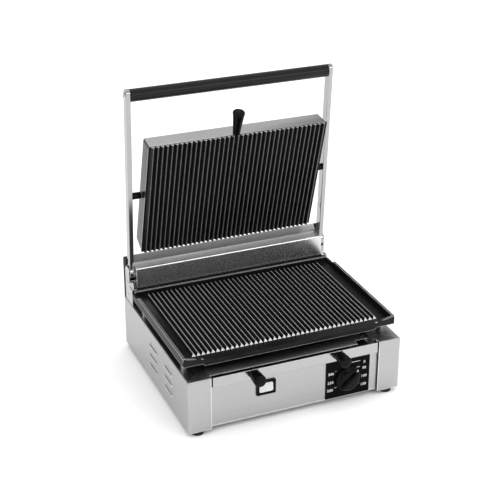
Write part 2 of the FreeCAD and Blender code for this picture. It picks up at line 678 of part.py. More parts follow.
def torsion_spring():
    """Right counterbalance spring round the shaft, with a long leg down behind it and a short tail."""
    height = SPRING_PITCH * SPRING_TURNS
    helix = Part.makeHelix(SPRING_PITCH, height, SPRING_MEAN_RADIUS)
    section = Part.Wire(Part.makeCircle(SPRING_WIRE, V(SPRING_MEAN_RADIUS, 0, 0), Y))
    coil = Part.Wire(helix).makePipeShell([section], True, True)
    leg = cylinder(SPRING_WIRE, V(SPRING_MEAN_RADIUS, 0, 0), V(SPRING_MEAN_RADIUS, -44, 0))
    tail = cylinder(SPRING_WIRE, V(SPRING_MEAN_RADIUS, 0, height), V(SPRING_MEAN_RADIUS, 9, height))
    spring = coil.fuse([leg, tail]).removeSplitter()
    spring.rotate(V(0, 0, 0), Y, 90)
    spring.rotate(V(0, 0, 0), X, 90)
    spring.translate(V(SPRING_START, HINGE.y, HINGE.z))
    return spring


# ---------------------------------------------------------------- swinging arms
def lean(shape):
    """Tip a piece drawn upright above the hinge to the open arm's forward lean."""
    shape.rotate(HINGE, X, ARM_LEAN)
    return shape


ARM_TOP = 359.3                   # hinge axis to the arm's top end
PIN_RADIUS = 4.0
PIN_START = 148.0
SLEEVE_RADIUS = 6.25
SLEEVE_START = HEAD_HALF_WIDTH + 0.4
ROD_RADIUS = 7.9


def arm():
    """Left flat arm with a round boss at the hinge."""
    x0 = -ARM_OUTER
    base = V(x0, HINGE.y, HINGE.z)
    across = V(ARM_THICKNESS, 0, 0)
    half = ARM_DEPTH / 2
    bar = box(x0, -ARM_INNER, HINGE.y - half, HINGE.y + half, HINGE.z, HINGE.z + ARM_TOP)
    bar = fillet_edges(bar, half - 0.5, lambda edge: edge.CenterOfMass.z > HINGE.z + ARM_TOP - 0.1
                       and parallel_to(X)(edge))
    boss = cylinder(ARM_BOSS_RADIUS, base, base.add(across))
    blank = lean(union([bar, boss]))
    blank = fillet_edges(blank, 0.8, lambda edge: edge.Length > 300)
    bores = [cylinder(SHAFT_RADIUS, base.sub(across), base.add(across).add(across)),
             cylinder(PIN_RADIUS, V(-210, HEAD_PIVOT.y, HEAD_PIVOT.z), V(-180, HEAD_PIVOT.y, HEAD_PIVOT.z)),
             cylinder(SCREW_RADIUS + 0.5, V(-210, GRIP.y, GRIP.z), V(-180, GRIP.y, GRIP.z))]
    return blank.cut(bores)


def hinge_shaft():
    """Steel shaft from arm to arm."""
    return cylinder(SHAFT_RADIUS, V(-ARM_OUTER, HINGE.y, HINGE.z), V(ARM_OUTER, HINGE.y, HINGE.z))


def spring_collar():
    """Right collar that ties the spring's inner end to the shaft."""
    return tube(8.0, SHAFT_RADIUS, V(SPRING_START - 12, HINGE.y, HINGE.z),
                V(SPRING_START - 3, HINGE.y, HINGE.z))


def handle():
    """Grip tube, the rod inside it and the two screws through the arms."""
    a = V(-ARM_INNER, GRIP.y, GRIP.z)
    b = V(ARM_INNER, GRIP.y, GRIP.z)
    grip = tube(GRIP_RADIUS, ROD_RADIUS + 0.1, a, b)
    grip = grip.makeFillet(1.2, [edge for edge in grip.Edges if isinstance(edge.Curve, Part.Circle)
                                 and edge.Curve.Radius > GRIP_RADIUS - 0.1])
    thread = SCREW_RADIUS + 0.5
    rod = cylinder(ROD_RADIUS, a, b).cut([cylinder(thread, a, a.add(V(20, 0, 0))),
                                          cylinder(thread, b.add(V(-20, 0, 0)), b)])
    head = cone(6.0, 7.0, V(-ARM_OUTER - 2.0, GRIP.y, GRIP.z), V(-ARM_OUTER, GRIP.y, GRIP.z))
    socket = cylinder(2.4, V(-ARM_OUTER - 3.0, GRIP.y, GRIP.z), V(-ARM_OUTER - 0.6, GRIP.y, GRIP.z))
    shank = cylinder(thread, V(-ARM_OUTER, GRIP.y, GRIP.z), V(-ARM_INNER + 18, GRIP.y, GRIP.z))
    screw = union([head, shank]).cut(socket)
    return grip, rod, both_sides(screw)


def pivot_pin():
    """Left pin that the upper head hangs on, and the black sleeve between arm and head."""
    end = V(-ARM_OUTER, HEAD_PIVOT.y, HEAD_PIVOT.z)
    pin = cylinder(PIN_RADIUS, end, V(-PIN_START, HEAD_PIVOT.y, HEAD_PIVOT.z))
    sleeve = tube(SLEEVE_RADIUS, PIN_RADIUS, V(-ARM_INNER, HEAD_PIVOT.y, HEAD_PIVOT.z),
                  V(-SLEEVE_START, HEAD_PIVOT.y, HEAD_PIVOT.z))
    return pin, sleeve


# ---------------------------------------------------------------- upper head, drawn flat about its pivot
HEAD_CREST = -HEAD_PIVOT_DEPTH
HEAD_FLOOR = HEAD_CREST + RIB_HEIGHT
HEAD_SEAM = HEAD_FLOOR + 2.0      # where the cover meets the casting
HEAD_BACK = HEAD_CREST + HEAD_THICKNESS
HEAD_PLATE_BACK = HEAD_SEAM + 8.0
HEAD_CORE_HALF = 164.0
HEAD_DRAFT = 4.5                  # how far the cover's front and rear lean in
HEAD_SIDE_DRAFT = 1.2             # how far its sides lean in
HEAD_SCREWS = [(150.0, -100.0), (150.0, 92.0)]
CORE_FRONT = -HEAD_TO_FRONT + 6.0
KNOB_X = -6.0
KNOB_Z = -18.0                    # in the thick part of the casting
STUD_RADIUS = 3.0
STUD_END = CORE_FRONT + 10.0


def upper_plate():
    """Ribbed cast-iron upper plate."""
    slab = box(-HEAD_HALF_WIDTH, HEAD_HALF_WIDTH, -HEAD_TO_FRONT, HEAD_TO_REAR, HEAD_FLOOR, HEAD_SEAM)
    core = box(-HEAD_CORE_HALF, HEAD_CORE_HALF, CORE_FRONT, HEAD_TO_REAR - 6, HEAD_SEAM - 0.5,
               HEAD_PLATE_BACK)
    ribs = ribbed_slab(UPPER_RIBS, HEAD_CREST, HEAD_FLOOR, HEAD_FLOOR + 1, -HEAD_TO_FRONT,
                       HEAD_TO_FRONT + HEAD_TO_REAR)
    plate = union([slab, core, ribs])
    holes = [cylinder(SCREW_RADIUS, V(side * x, y, HEAD_PLATE_BACK - 6), V(side * x, y, HEAD_PLATE_BACK + 1))
             for x, y in HEAD_SCREWS for side in (-1, 1)]
    holes.append(cylinder(STUD_RADIUS, V(KNOB_X, CORE_FRONT - 1, KNOB_Z), V(KNOB_X, STUD_END, KNOB_Z)))
    return open_head(plate.cut(holes))


def head_shell(inset):
    """Solid block of the cover's outline, moved in on every side by the sheet's thickness."""
    def ring(half, front, rear, height):
        corners = [V(-half, front, height), V(half, front, height), V(half, rear, height),
                   V(-half, rear, height)]
        return Part.makePolygon(corners + [corners[0]])

    low = HEAD_SEAM - (1.0 if inset else 0.0)
    bottom = ring(HEAD_HALF_WIDTH - inset, -HEAD_TO_FRONT + inset, HEAD_TO_REAR - inset, low)
    top = ring(HEAD_HALF_WIDTH - HEAD_SIDE_DRAFT - inset, -HEAD_TO_FRONT + HEAD_DRAFT + inset,
               HEAD_TO_REAR - HEAD_DRAFT - inset, HEAD_BACK - inset)
    block = Part.makeLoft([bottom, top], True, True)
    radius = 4.0 - inset
    return fillet_edges(block, radius, lambda edge: edge.CenterOfMass.z > low + 0.5)


def upper_cover():
    """Satin stainless cover behind the casting."""
    cuts = [head_shell(SHEET), cylinder(PIN_RADIUS + 0.7, V(-180, 0, 0), V(180, 0, 0)),
            cylinder(STUD_RADIUS, V(KNOB_X, -HEAD_TO_FRONT - 1, KNOB_Z), V(KNOB_X, CORE_FRONT, KNOB_Z))]
    for x, y in HEAD_SCREWS:
        for side in (-1, 1):
            cuts.append(cylinder(SCREW_RADIUS, V(side * x, y, 0), V(side * x, y, 20)))
    return open_head(head_shell(0.0).cut(cuts))


def upper_internals():
    """Heating element, backing sheet and insulation inside the head."""
    height = HEAD_PLATE_BACK + ELEMENT_RADIUS + 0.1
    element = swept_tube(serpentine(130, 82, 6, height, 104), 24.0, ELEMENT_RADIUS)
    sheet_low = height + ELEMENT_RADIUS + 0.1
    backing = box(-138, 138, -108, 106, sheet_low, sheet_low + 0.8)
    insulation = box(-140, 140, -110, 106, sheet_low + 0.9, HEAD_BACK - SHEET - 1.0)
    return open_head(element), open_head(backing), open_head(insulation)


def pivot_blocks():
    """Blocks on the back of the upper casting that turn on the pivot pins."""
    block = box(-165, -145, -14, 14, HEAD_PLATE_BACK, HEAD_BACK - SHEET - 0.5)
    block = block.cut(cylinder(PIN_RADIUS + RUNNING, V(-180, 0, 0), V(-140, 0, 0)))
    return [open_head(piece) for piece in both_sides(block)]


def head_screws():
    """Screws that hold the cover to the casting."""
    screws = []
    for x, y in HEAD_SCREWS:
        head = cone(4.2, 3.2, V(x, y, HEAD_BACK), V(x, y, HEAD_BACK + 1.6))
        shank = cylinder(SCREW_RADIUS, V(x, y, HEAD_PLATE_BACK - 5), V(x, y, HEAD_BACK))
        screws.extend(both_sides(union([head, shank])))
    return [open_head(screw) for screw in screws]


def turned(profile, start, direction):
    """Solid of revolution; the profile lists (distance along the axis, radius) pairs from the base."""
    points = [V(radius, 0, along) for along, radius in profile]
    points = [V(0, 0, profile[0][0])] + points + [V(0, 0, profile[-1][0])]
    distinct = [points[0]]
    for point in points[1:]:
        if point.sub(distinct[-1]).Length > 1e-6:
            distinct.append(point)
    face = Part.Face(Part.makePolygon(distinct + [distinct[0]]))
    solid = face.revolve(V(0, 0, 0), Z, 360)
    solid.Placement = FreeCAD.Placement(start, FreeCAD.Rotation(Z, direction))
    return solid


def domed(length, base_radius, tip_radius, dome):
    """Profile of a conical knob with a domed free end."""
    profile = [(0.0, base_radius), (length - dome, tip_radius)]
    steps = 6
    for step in range(1, steps + 1):
        angle = math.radians(90) * step / steps
        profile.append((length - dome + dome * math.sin(angle), tip_radius * math.cos(angle) ** 0.6
                        if step < steps else 0.0))
    return profile


HEAD_KNOB_LENGTH = 48.0


def front_knob():
    """Black knob on the head's front edge, and its stud."""
    base = V(KNOB_X, -HEAD_TO_FRONT, KNOB_Z)
    socket_end = base.add(V(0, -20, 0))
    knob = turned(domed(HEAD_KNOB_LENGTH, 6.5, 11.0, 6.0), base, V(0, -1, 0))
    knob = knob.cut(cylinder(STUD_RADIUS, base.add(V(0, 1, 0)), socket_end))
    stud = cylinder(STUD_RADIUS, V(KNOB_X, STUD_END, KNOB_Z), socket_end)
    return open_head(knob), open_head(stud)


# ---------------------------------------------------------------- drip drawer
TRAY_HALF = 146.0
TRAY_REAR = 50.0
TRAY_BOTTOM = PANEL_TOP + 0.6
TRAY_TOP = 100.5
FASCIA_HALF = 155.3
FASCIA_BACK = BODY_FRONT + 2.0
KNOB_HEIGHT = BODY_TOP - 9.4      # of the drawer knobs' axes
KNOB_MIDDLES = (-KNOB_SPACING / 2, KNOB_SPACING / 2)


def drawer_tray():
    """Shallow folded tray with side flanges that run on the rails."""
    outer = box(-TRAY_HALF, TRAY_HALF, FASCIA_BACK, TRAY_REAR, TRAY_BOTTOM, TRAY_TOP)
    inner = box(-TRAY_HALF + 1, TRAY_HALF - 1, FASCIA_BACK + 1, TRAY_REAR - 1, TRAY_BOTTOM + 1, TRAY_TOP + 1)
    flange = box(-RAIL_X + 0.5, -TRAY_HALF + 0.5, PANEL_BACK + 1, TRAY_REAR, TRAY_TOP - 1, TRAY_TOP)
    holes = [cylinder(SCREW_RADIUS, V(x, FASCIA_BACK - 1, KNOB_HEIGHT), V(x, FASCIA_BACK + 2, KNOB_HEIGHT))
             for x in KNOB_MIDDLES]
    return union([outer.cut(inner)] + both_sides(flange)).cut(holes)


def drawer_fascia():
    """Polished strip across the front of the drawer."""
    strip = box(-FASCIA_HALF, FASCIA_HALF, BODY_FRONT, FASCIA_BACK, PANEL_TOP + 0.2, BODY_TOP - 0.2)
    strip = fillet_edges(strip, 0.6, lambda edge: edge.CenterOfMass.y < BODY_FRONT + 0.1)
    holes = [cylinder(SCREW_RADIUS, V(x, BODY_FRONT - 1, KNOB_HEIGHT), V(x, FASCIA_BACK + 1, KNOB_HEIGHT))
             for x in KNOB_MIDDLES]
    return strip.cut(holes)


def drawer_knobs():
    """Two black knobs and their screws."""
    knobs = []
    screws = []
    for x in KNOB_MIDDLES:
        base = V(x, BODY_FRONT, KNOB_HEIGHT)
        knob = turned(domed(KNOB_LENGTH, 8.0, 11.8, 4.5), base, V(0, -1, 0))
        knobs.append(knob.cut(cylinder(SCREW_RADIUS, base.add(V(0, 1, 0)), base.add(V(0, -14, 0)))))
        head = cylinder(1.8 * SCREW_RADIUS, V(x, FASCIA_BACK + 1, KNOB_HEIGHT),
                        V(x, FASCIA_BACK + 3, KNOB_HEIGHT))
        shank = cylinder(SCREW_RADIUS, V(x, FASCIA_BACK + 1, KNOB_HEIGHT), base.add(V(0, -13, 0)))
        screws.append(union([head, shank]))
    return knobs, screws


# ---------------------------------------------------------------- controls
CONTROL_FRONT = PANEL_FRONT - 1.5
THERMOSTAT_SHAFT = 3.0
SHAFT_GRIP = 11.0                 # how far the shaft reaches into the dial
WING_HEIGHT = 15.0
DIAL_OFF = 50.0                   # clockwise turn of the pointer at the off mark, in degrees


def control_plate():
    """Black plate behind the dial."""
    plate = box(DIAL_X - 42.5, DIAL_X + 42.5, CONTROL_FRONT, PANEL_FRONT, PANEL_BOTTOM + 0.5, PANEL_TOP)
    return plate.cut(cylinder(5.5, V(DIAL_X, CONTROL_FRONT - 1, DIAL_Z), V(DIAL_X, PANEL_FRONT + 1, DIAL_Z)))


def thermostat_body():
    """Thermostat behind the panel, with the neck that its shaft turns in."""
    body = box(DIAL_X - 20, DIAL_X + 20, PANEL_BACK + 4, PANEL_BACK + 46, DIAL_Z - 19, DIAL_Z + 19)
    body = fillet_edges(body, 3.0, parallel_to(Y))
    bridge = box(DIAL_X - 24, DIAL_X + 24, PANEL_BACK, PANEL_BACK + 4, DIAL_Z - 8, DIAL_Z + 8)
    neck = cylinder(5.3, V(DIAL_X, CONTROL_FRONT + 0.5, DIAL_Z), V(DIAL_X, PANEL_BACK + 5, DIAL_Z))
    bore = cylinder(THERMOSTAT_SHAFT + RUNNING, V(DIAL_X, CONTROL_FRONT - 5, DIAL_Z),
                    V(DIAL_X, PANEL_BACK + 26, DIAL_Z))
    return union([body, bridge, neck]).cut(bore)


def dial():
    """Round knob with a wing grip, its white pointer at the off mark, and the thermostat's shaft."""
    back = CONTROL_FRONT - 0.6
    axis = V(DIAL_X, back, DIAL_Z)
    skirt_profile = [(0, 24.0), (3.0, 24.0), (5.0, 22.5), (6.0, 19.0), (9.0, 17.5)]
    skirt = turned(skirt_profile, axis, V(0, -1, 0))
    wing = box(DIAL_X - 5.5, DIAL_X + 5.5, back - WING_HEIGHT, back - 4, DIAL_Z - 20, DIAL_Z + 20)
    wing = fillet_edges(wing, 5.0, parallel_to(Y))
    wing = fillet_edges(wing, 1.5, lambda edge: edge.CenterOfMass.y < back - WING_HEIGHT + 0.1)
    groove = box(DIAL_X - 1.2, DIAL_X + 1.2, back - 8, back - 2.5, DIAL_Z + 20.2, DIAL_Z + 23.4)
    bore = cylinder(THERMOSTAT_SHAFT, V(DIAL_X, back + 1, DIAL_Z), V(DIAL_X, back - SHAFT_GRIP, DIAL_Z))
    knob = union([skirt, wing]).cut([groove, bore])
    pointer = skirt.common(groove)
    for piece in (knob, pointer):
        piece.rotate(axis, Y, DIAL_OFF)
    shaft = cylinder(THERMOSTAT_SHAFT, V(DIAL_X, back - SHAFT_GRIP, DIAL_Z),
                     V(DIAL_X, PANEL_BACK + 25, DIAL_Z))
    return knob, pointer, shaft


ROCKER_TILT = 6.0
ROCKER_PIVOT = V(SWITCH_X, PANEL_FRONT + 2.5, SWITCH_Z)
ROCKER_HALF_WIDTH = 13.0
ROCKER_HALF_HEIGHT = 8.6
ROCKER_PROUD = 5.6
TRUNNION = 1.5


def switch_housing():
    """Rocker switch's frame and body."""
    frame = box(SWITCH_X - 18, SWITCH_X + 18, PANEL_FRONT - 2.5, PANEL_FRONT, SWITCH_Z - 13.75,
                SWITCH_Z + 13.75)
    frame = fillet_edges(frame, 2.0, parallel_to(Y))
    body = box(SWITCH_X - 15, SWITCH_X + 15, PANEL_FRONT, PANEL_FRONT + 24, SWITCH_Z - 11.2,
               SWITCH_Z + 11.2)
    well = box(SWITCH_X - ROCKER_HALF_WIDTH - 0.4, SWITCH_X + ROCKER_HALF_WIDTH + 0.4, PANEL_FRONT - 3,
               PANEL_FRONT + 10, SWITCH_Z - 10.4, SWITCH_Z + 10.4)
    well = fillet_edges(well, 1.5, parallel_to(Y))
    reach = ROCKER_HALF_WIDTH + 1.4 + RUNNING
    bearing = cylinder(TRUNNION + RUNNING, ROCKER_PIVOT.sub(V(reach, 0, 0)), ROCKER_PIVOT.add(V(reach, 0, 0)))
    tabs = []
    for x in (-8, 0, 8):
        tabs.append(box(SWITCH_X + x - 0.4, SWITCH_X + x + 0.4, PANEL_FRONT + 23, PANEL_FRONT + 32,
                        SWITCH_Z - 3.2, SWITCH_Z + 3.2))
    return union([frame, body.cut(well)] + tabs).cut([well, bearing])


def switch_rocker():
    """Rocker with a dished face, at rest with its lower end pressed out."""
    y = ROCKER_PIVOT.y
    z = ROCKER_PIVOT.z
    x0 = SWITCH_X - ROCKER_HALF_WIDTH
    front = y - ROCKER_PROUD
    top = V(x0, front, z + ROCKER_HALF_HEIGHT)
    bottom = V(x0, front, z - ROCKER_HALF_HEIGHT)
    face = Part.Arc(top, V(x0, front + 0.8, z), bottom).toShape()
    under = Part.makeLine(bottom, V(x0, y + 1, z - 6))
    back = Part.makeLine(V(x0, y + 1, z - 6), V(x0, y + 1, z + 6))
    over = Part.makeLine(V(x0, y + 1, z + 6), top)
    block = Part.Face(Part.Wire([face, under, back, over])).extrude(V(2 * ROCKER_HALF_WIDTH, 0, 0))
    reach = ROCKER_HALF_WIDTH + 1.4
    pin = cylinder(TRUNNION, ROCKER_PIVOT.sub(V(reach, 0, 0)), ROCKER_PIVOT.add(V(reach, 0, 0)))
    rocker = union([block, pin])
    rocker.rotate(ROCKER_PIVOT, X, -ROCKER_TILT)
    return rocker


# ---------------------------------------------------------------- all nodes
os.makedirs("parts", exist_ok=True)

left_cover = side_cover()
save("left_side_cover", left_cover)
save("right_side_cover", mirrored(left_cover))
save("front_panel", front_panel())
save("rear_panel", rear_panel())
save("base_pan", base_pan())
feet, foot_screws = feet_and_screws()
save("feet", feet)
save("foot_screws", foot_screws)
save("cover_screws", cover_screws())
gland, gland_nut = cable_gland()
save("cable_gland", gland)
save("gland_nut", gland_nut)
save("terminal_block", terminal_block())

save("lower_plate", lower_plate())
spacers, plate_bolts = plate_mounting()
save("plate_spacers", spacers)
save("plate_bolts", plate_bolts)
save("lower_element", lower_element())
clamp_bars, clamp_bolts = element_clamps()
save("element_clamps", clamp_bars)
save("clamp_bolts", clamp_bolts)
save("heat_shield", heat_shield())
save("thermostat_sensor", thermostat_sensor())
left_rail = drawer_rail()
save("left_drawer_rail", left_rail)
save("right_drawer_rail", mirrored(left_rail))

save("hinge_housing", hinge_housing())
save("hinge_cover", hinge_cover())
left_bracket = hinge_bracket()
save("left_hinge_bracket", left_bracket)
save("right_hinge_bracket", mirrored(left_bracket))
save("gusset_bolts", gusset_bolts())
left_stop = arm_stop()
save("left_arm_stop", left_stop)
save("right_arm_stop", mirrored(left_stop))
save("bearing_blocks", both_sides(bearing_block()))
save("bearing_bushes", both_sides(bearing_bush()))
save("torsion_springs", both_sides(torsion_spring()))

left_arm = arm()
save("left_arm", left_arm)
save("right_arm", mirrored(left_arm))
save("hinge_shaft", hinge_shaft())
save("spring_collars", both_sides(spring_collar()))
grip, rod, handle_screws = handle()
save("handle_grip", grip)
save("handle_rod", rod)
save("handle_screws", handle_screws)
left_pin, left_sleeve = pivot_pin()
save("pivot_pins", both_sides(left_pin))
save("pivot_sleeves", both_sides(left_sleeve))

save("upper_plate", upper_plate())
save("upper_cover", upper_cover())
element, backing, insulation = upper_internals()
save("upper_element", element)
save("upper_backing_sheet", backing)
save("upper_insulation", insulation)
save("pivot_blocks", pivot_blocks())
save("head_screws", head_screws())
knob, stud = front_knob()
save("front_knob", knob)
save("knob_stud", stud)

save("drawer_tray", drawer_tray())
save("drawer_fascia", drawer_fascia())
drawer_knob_pair, knob_screws = drawer_knobs()
save("drawer_knobs", drawer_knob_pair)
save("knob_screws", knob_screws)

save("control_plate", control_plate())
save("thermostat_body", thermostat_body())
dial_knob, dial_pointer, dial_shaft = dial()
save("thermostat_dial", dial_knob)
save("dial_pointer", dial_pointer)
save("thermostat_shaft", dial_shaft)
save("switch_housing", switch_housing())
save("switch_rocker", switch_rocker())

print(len(NODES), "nodes")
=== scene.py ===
"""Looks of the contact grill, in metres: materials, detailed pieces, floor, light and camera.

The frame is the part's own: +X to the user's right, +Y to the rear, +Z up, origin on the table.
"""

import json
import math

import bmesh
import bpy
from mathutils import Matrix, Vector


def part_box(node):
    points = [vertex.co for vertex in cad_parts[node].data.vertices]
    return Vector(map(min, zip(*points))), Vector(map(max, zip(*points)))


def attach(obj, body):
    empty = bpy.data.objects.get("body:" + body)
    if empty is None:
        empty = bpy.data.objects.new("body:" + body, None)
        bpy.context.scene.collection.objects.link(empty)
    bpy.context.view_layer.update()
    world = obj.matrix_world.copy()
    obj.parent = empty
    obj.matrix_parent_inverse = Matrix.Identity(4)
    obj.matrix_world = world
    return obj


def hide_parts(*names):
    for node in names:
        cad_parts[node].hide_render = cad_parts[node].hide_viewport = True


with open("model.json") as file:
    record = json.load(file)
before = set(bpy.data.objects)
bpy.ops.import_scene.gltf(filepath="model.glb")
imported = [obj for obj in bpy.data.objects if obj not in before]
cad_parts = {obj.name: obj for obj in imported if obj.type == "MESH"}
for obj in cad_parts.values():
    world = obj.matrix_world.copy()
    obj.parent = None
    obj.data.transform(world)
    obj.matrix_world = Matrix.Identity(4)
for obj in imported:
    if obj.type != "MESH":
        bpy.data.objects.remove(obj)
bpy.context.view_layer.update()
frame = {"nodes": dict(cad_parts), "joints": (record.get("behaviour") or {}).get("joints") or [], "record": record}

MM = 0.001
SHARP = 0.02 * MM                 # rounding too small to show
LEFT, RIGHT = -1, 1
BACKWARD = Vector((0, 1, 0))
FORWARD = Vector((0, -1, 0))


# ---------------------------------------------------------------- material building
class Finish:
    """One procedural material, with short calls for the nodes that it uses."""

    def __init__(self, name, **settings):
        self.material = bpy.data.materials.new(name)
        self.material.use_nodes = True
        self.nodes = self.material.node_tree.nodes
        self.links = self.material.node_tree.links
        self.shader = self.nodes["Principled BSDF"]
        for socket, value in settings.items():
            self.shader.inputs[socket.replace("_", " ")].default_value = value

    def noise(self, scale, detail=3.0, rough=0.5):
        """Noise over the piece's own coordinates; scale is its frequency per metre along X, Y and Z."""
        coordinates = self.nodes.new("ShaderNodeTexCoord")
        mapping = self.nodes.new("ShaderNodeMapping")
        mapping.inputs["Scale"].default_value = scale
        texture = self.nodes.new("ShaderNodeTexNoise")
        texture.inputs["Scale"].default_value = 1.0
        texture.inputs["Detail"].default_value = detail
        texture.inputs["Roughness"].default_value = rough
        self.links.new(coordinates.outputs["Object"], mapping.inputs["Vector"])
        self.links.new(mapping.outputs["Vector"], texture.inputs["Vector"])
        return texture.outputs["Fac"]

    def reach(self, origin, direction):
        """How far a point of the piece lies from the origin along the direction, in metres."""
        coordinates = self.nodes.new("ShaderNodeTexCoord")
        offset = self.nodes.new("ShaderNodeVectorMath")
        offset.operation = "SUBTRACT"
        offset.inputs[1].default_value = origin
        along_direction = self.nodes.new("ShaderNodeVectorMath")
        along_direction.operation = "DOT_PRODUCT"
        along_direction.inputs[1].default_value = direction
        self.links.new(coordinates.outputs["Object"], offset.inputs[0])
        self.links.new(offset.outputs["Vector"], along_direction.inputs[0])
        return along_direction.outputs["Value"]

    def facing(self, direction):
        """How squarely the piece's surface faces the direction, from -1 to 1."""
        coordinates = self.nodes.new("ShaderNodeTexCoord")
        along_direction = self.nodes.new("ShaderNodeVectorMath")
        along_direction.operation = "DOT_PRODUCT"
        along_direction.inputs[1].default_value = direction
        self.links.new(coordinates.outputs["Normal"], along_direction.inputs[0])
        return along_direction.outputs["Value"]

    def spread(self, factor, low, high, start=0.3, end=0.7):
        """The factor's middle range stretched over low to high."""
        node = self.nodes.new("ShaderNodeMapRange")
        node.inputs["From Min"].default_value = start
        node.inputs["From Max"].default_value = end
        node.inputs["To Min"].default_value = low
        node.inputs["To Max"].default_value = high
        self.links.new(factor, node.inputs["Value"])
        return node.outputs["Result"]

    def combine(self, operation, first, second):
        """Sum, product or other sum-like mix of two values."""
        node = self.nodes.new("ShaderNodeMath")
        node.operation = operation
        self.links.new(first, node.inputs[0])
        self.links.new(second, node.inputs[1])
        return node.outputs["Value"]

    def colour(self, factor, dark, light, start=0.3, end=0.7):
        """Base colour that runs from dark to light with the factor."""
        ramp = self.nodes.new("ShaderNodeValToRGB")
        ramp.color_ramp.elements[0].position = start
        ramp.color_ramp.elements[0].color = (*dark, 1)
        ramp.color_ramp.elements[1].position = end
        ramp.color_ramp.elements[1].color = (*light, 1)
        self.links.new(factor, ramp.inputs["Fac"])
        self.links.new(ramp.outputs["Color"], self.shader.inputs["Base Color"])
        return ramp.outputs["Color"]

    def layer(self, mask, under, over):
        """Base colour that goes from the colour under the mask to the one over it."""
        mix = self.nodes.new("ShaderNodeMixRGB")
        mix.inputs["Color2"].default_value = (*over, 1)
        self.links.new(mask, mix.inputs["Fac"])
        self.links.new(under, mix.inputs["Color1"])
        self.links.new(mix.outputs["Color"], self.shader.inputs["Base Color"])
        return mix.outputs["Color"]

    def roughness(self, factor, low, high):
        """Roughness that follows the factor."""
        self.links.new(self.spread(factor, low, high), self.shader.inputs["Roughness"])

    def edges(self, radius):
        """1 on sharp outer edges, fading to 0 at the radius from them."""
        normals = []
        for reach in (SHARP, radius):
            rounding = self.nodes.new("ShaderNodeBevel")
            rounding.samples = 8
            rounding.inputs["Radius"].default_value = reach
            normals.append(rounding.outputs["Normal"])
        likeness = self.nodes.new("ShaderNodeVectorMath")
        likeness.operation = "DOT_PRODUCT"
        self.links.new(normals[0], likeness.inputs[0])
        self.links.new(normals[1], likeness.inputs[1])
        return self.spread(likeness.outputs["Value"], 1.0, 0.0, 0.80, 0.97)

    def surface(self, height, strength, depth, edge_radius=0.0):
        """Fine relief, and edges that shade as if rounded."""
        bump = self.nodes.new("ShaderNodeBump")
        bump.inputs["Strength"].default_value = strength
        bump.inputs["Distance"].default_value = depth
        self.links.new(height, bump.inputs["Height"])
        if edge_radius:
            rounding = self.nodes.new("ShaderNodeBevel")
            rounding.samples = 6
            rounding.inputs["Radius"].default_value = edge_radius
            self.links.new(rounding.outputs["Normal"], bump.inputs["Normal"])
        self.links.new(bump.outputs["Normal"], self.shader.inputs["Normal"])


def grey(value, warmth=0.0):
    """Neutral colour, a little warmer or cooler."""
    return (value * (1 + warmth), value, value * (1 - warmth))


FINE = 1400.0                     # brushing lines per metre, across the grain
ALONG = 9.0                       # and along it
STREAK = 0.12                     # scale of the broad streaks against the brushing lines
FOLD_HIGHLIGHT_REACH = 3.0 * MM              # reach of the painted highlight on the satin sheet's folded edges
POLISH_HIGHLIGHT_REACH = 1.0 * MM            # and of the painted highlight on polished edges
RIM_WEAR_AND_HIGHLIGHT_REACH = 3.0 * MM               # and of the worn bare iron and painted highlight on the castings' rims
EDGE_HIGHLIGHT_TONE = 0.95                     # tone of the painted highlight on satin edges


def satin_steel(name, stretch, tone=0.42, side_shade_tone=0.42):
    """Brushed stainless sheet; stretch gives each axis the fine or the long side of the grain.

    Faces square to X take the side shade tone, a painted shade, and the folded edges get a painted bright
    highlight.
    """
    finish = Finish(name, Metallic=1.0, Anisotropic=0.3)
    grain = finish.noise(stretch, detail=5.0, rough=0.65)
    streaks = finish.noise([value * STREAK for value in stretch], detail=3.0)
    handling = finish.noise((11, 11, 11), detail=4.0)
    blend = finish.combine("ADD", grain, streaks)
    sheet = finish.colour(blend, grey(tone * 0.96, 0.004), grey(tone * 1.03, 0.002), 0.7, 1.3)
    sideways = finish.facing((1, 0, 0))
    ends = finish.spread(finish.combine("MULTIPLY", sideways, sideways), 0.0, 1.0, 0.4, 0.9)
    # faces square to X get the side shade tone: painted shade where it is darker than the sheet
    sheet = finish.layer(ends, sheet, grey(side_shade_tone))
    # painted highlight along the folded edges
    finish.layer(finish.edges(FOLD_HIGHLIGHT_REACH), sheet, grey(EDGE_HIGHLIGHT_TONE))
    rough = finish.combine("ADD", finish.spread(grain, 0.0, 0.08), finish.spread(handling, 0.27, 0.31))
    finish.links.new(rough, finish.shader.inputs["Roughness"])
    finish.surface(blend, 0.10, 0.06 * MM, 0.7 * MM)
    return finish.material


def polished_steel(name, tone=0.50, wave=0.30, rough=(0.05, 0.13)):
    """Mirror-polished stainless with the faint waves of hand polishing."""
    finish = Finish(name, Metallic=1.0)
    waves = finish.noise((26, 26, 26), detail=1.5)
    wiping = finish.noise((60, 700, 60), detail=4.0, rough=0.7)
    sheet = finish.colour(wiping, grey(tone * 0.97), grey(tone * 1.03))
    # painted highlight along the edges
    finish.layer(finish.edges(POLISH_HIGHLIGHT_REACH), sheet, grey(0.9))
    finish.roughness(finish.combine("ADD", waves, wiping), *rough)
    finish.surface(waves, wave, 0.5 * MM, 0.8 * MM)
    return finish.material


def plated_steel(name, tone=0.55, warmth=0.02):
    """Zinc-plated steel with its mottled crystals."""
    finish = Finish(name, Metallic=1.0)
    crystals = finish.noise((420, 420, 420), detail=3.0)
    patches = finish.noise((40, 40, 40), detail=4.0)
    finish.colour(crystals, grey(tone * 0.85, warmth), grey(tone * 1.12, warmth))
    finish.roughness(patches, 0.26, 0.42)
    finish.surface(crystals, 0.12, 0.05 * MM, 0.3 * MM)
    return finish.material


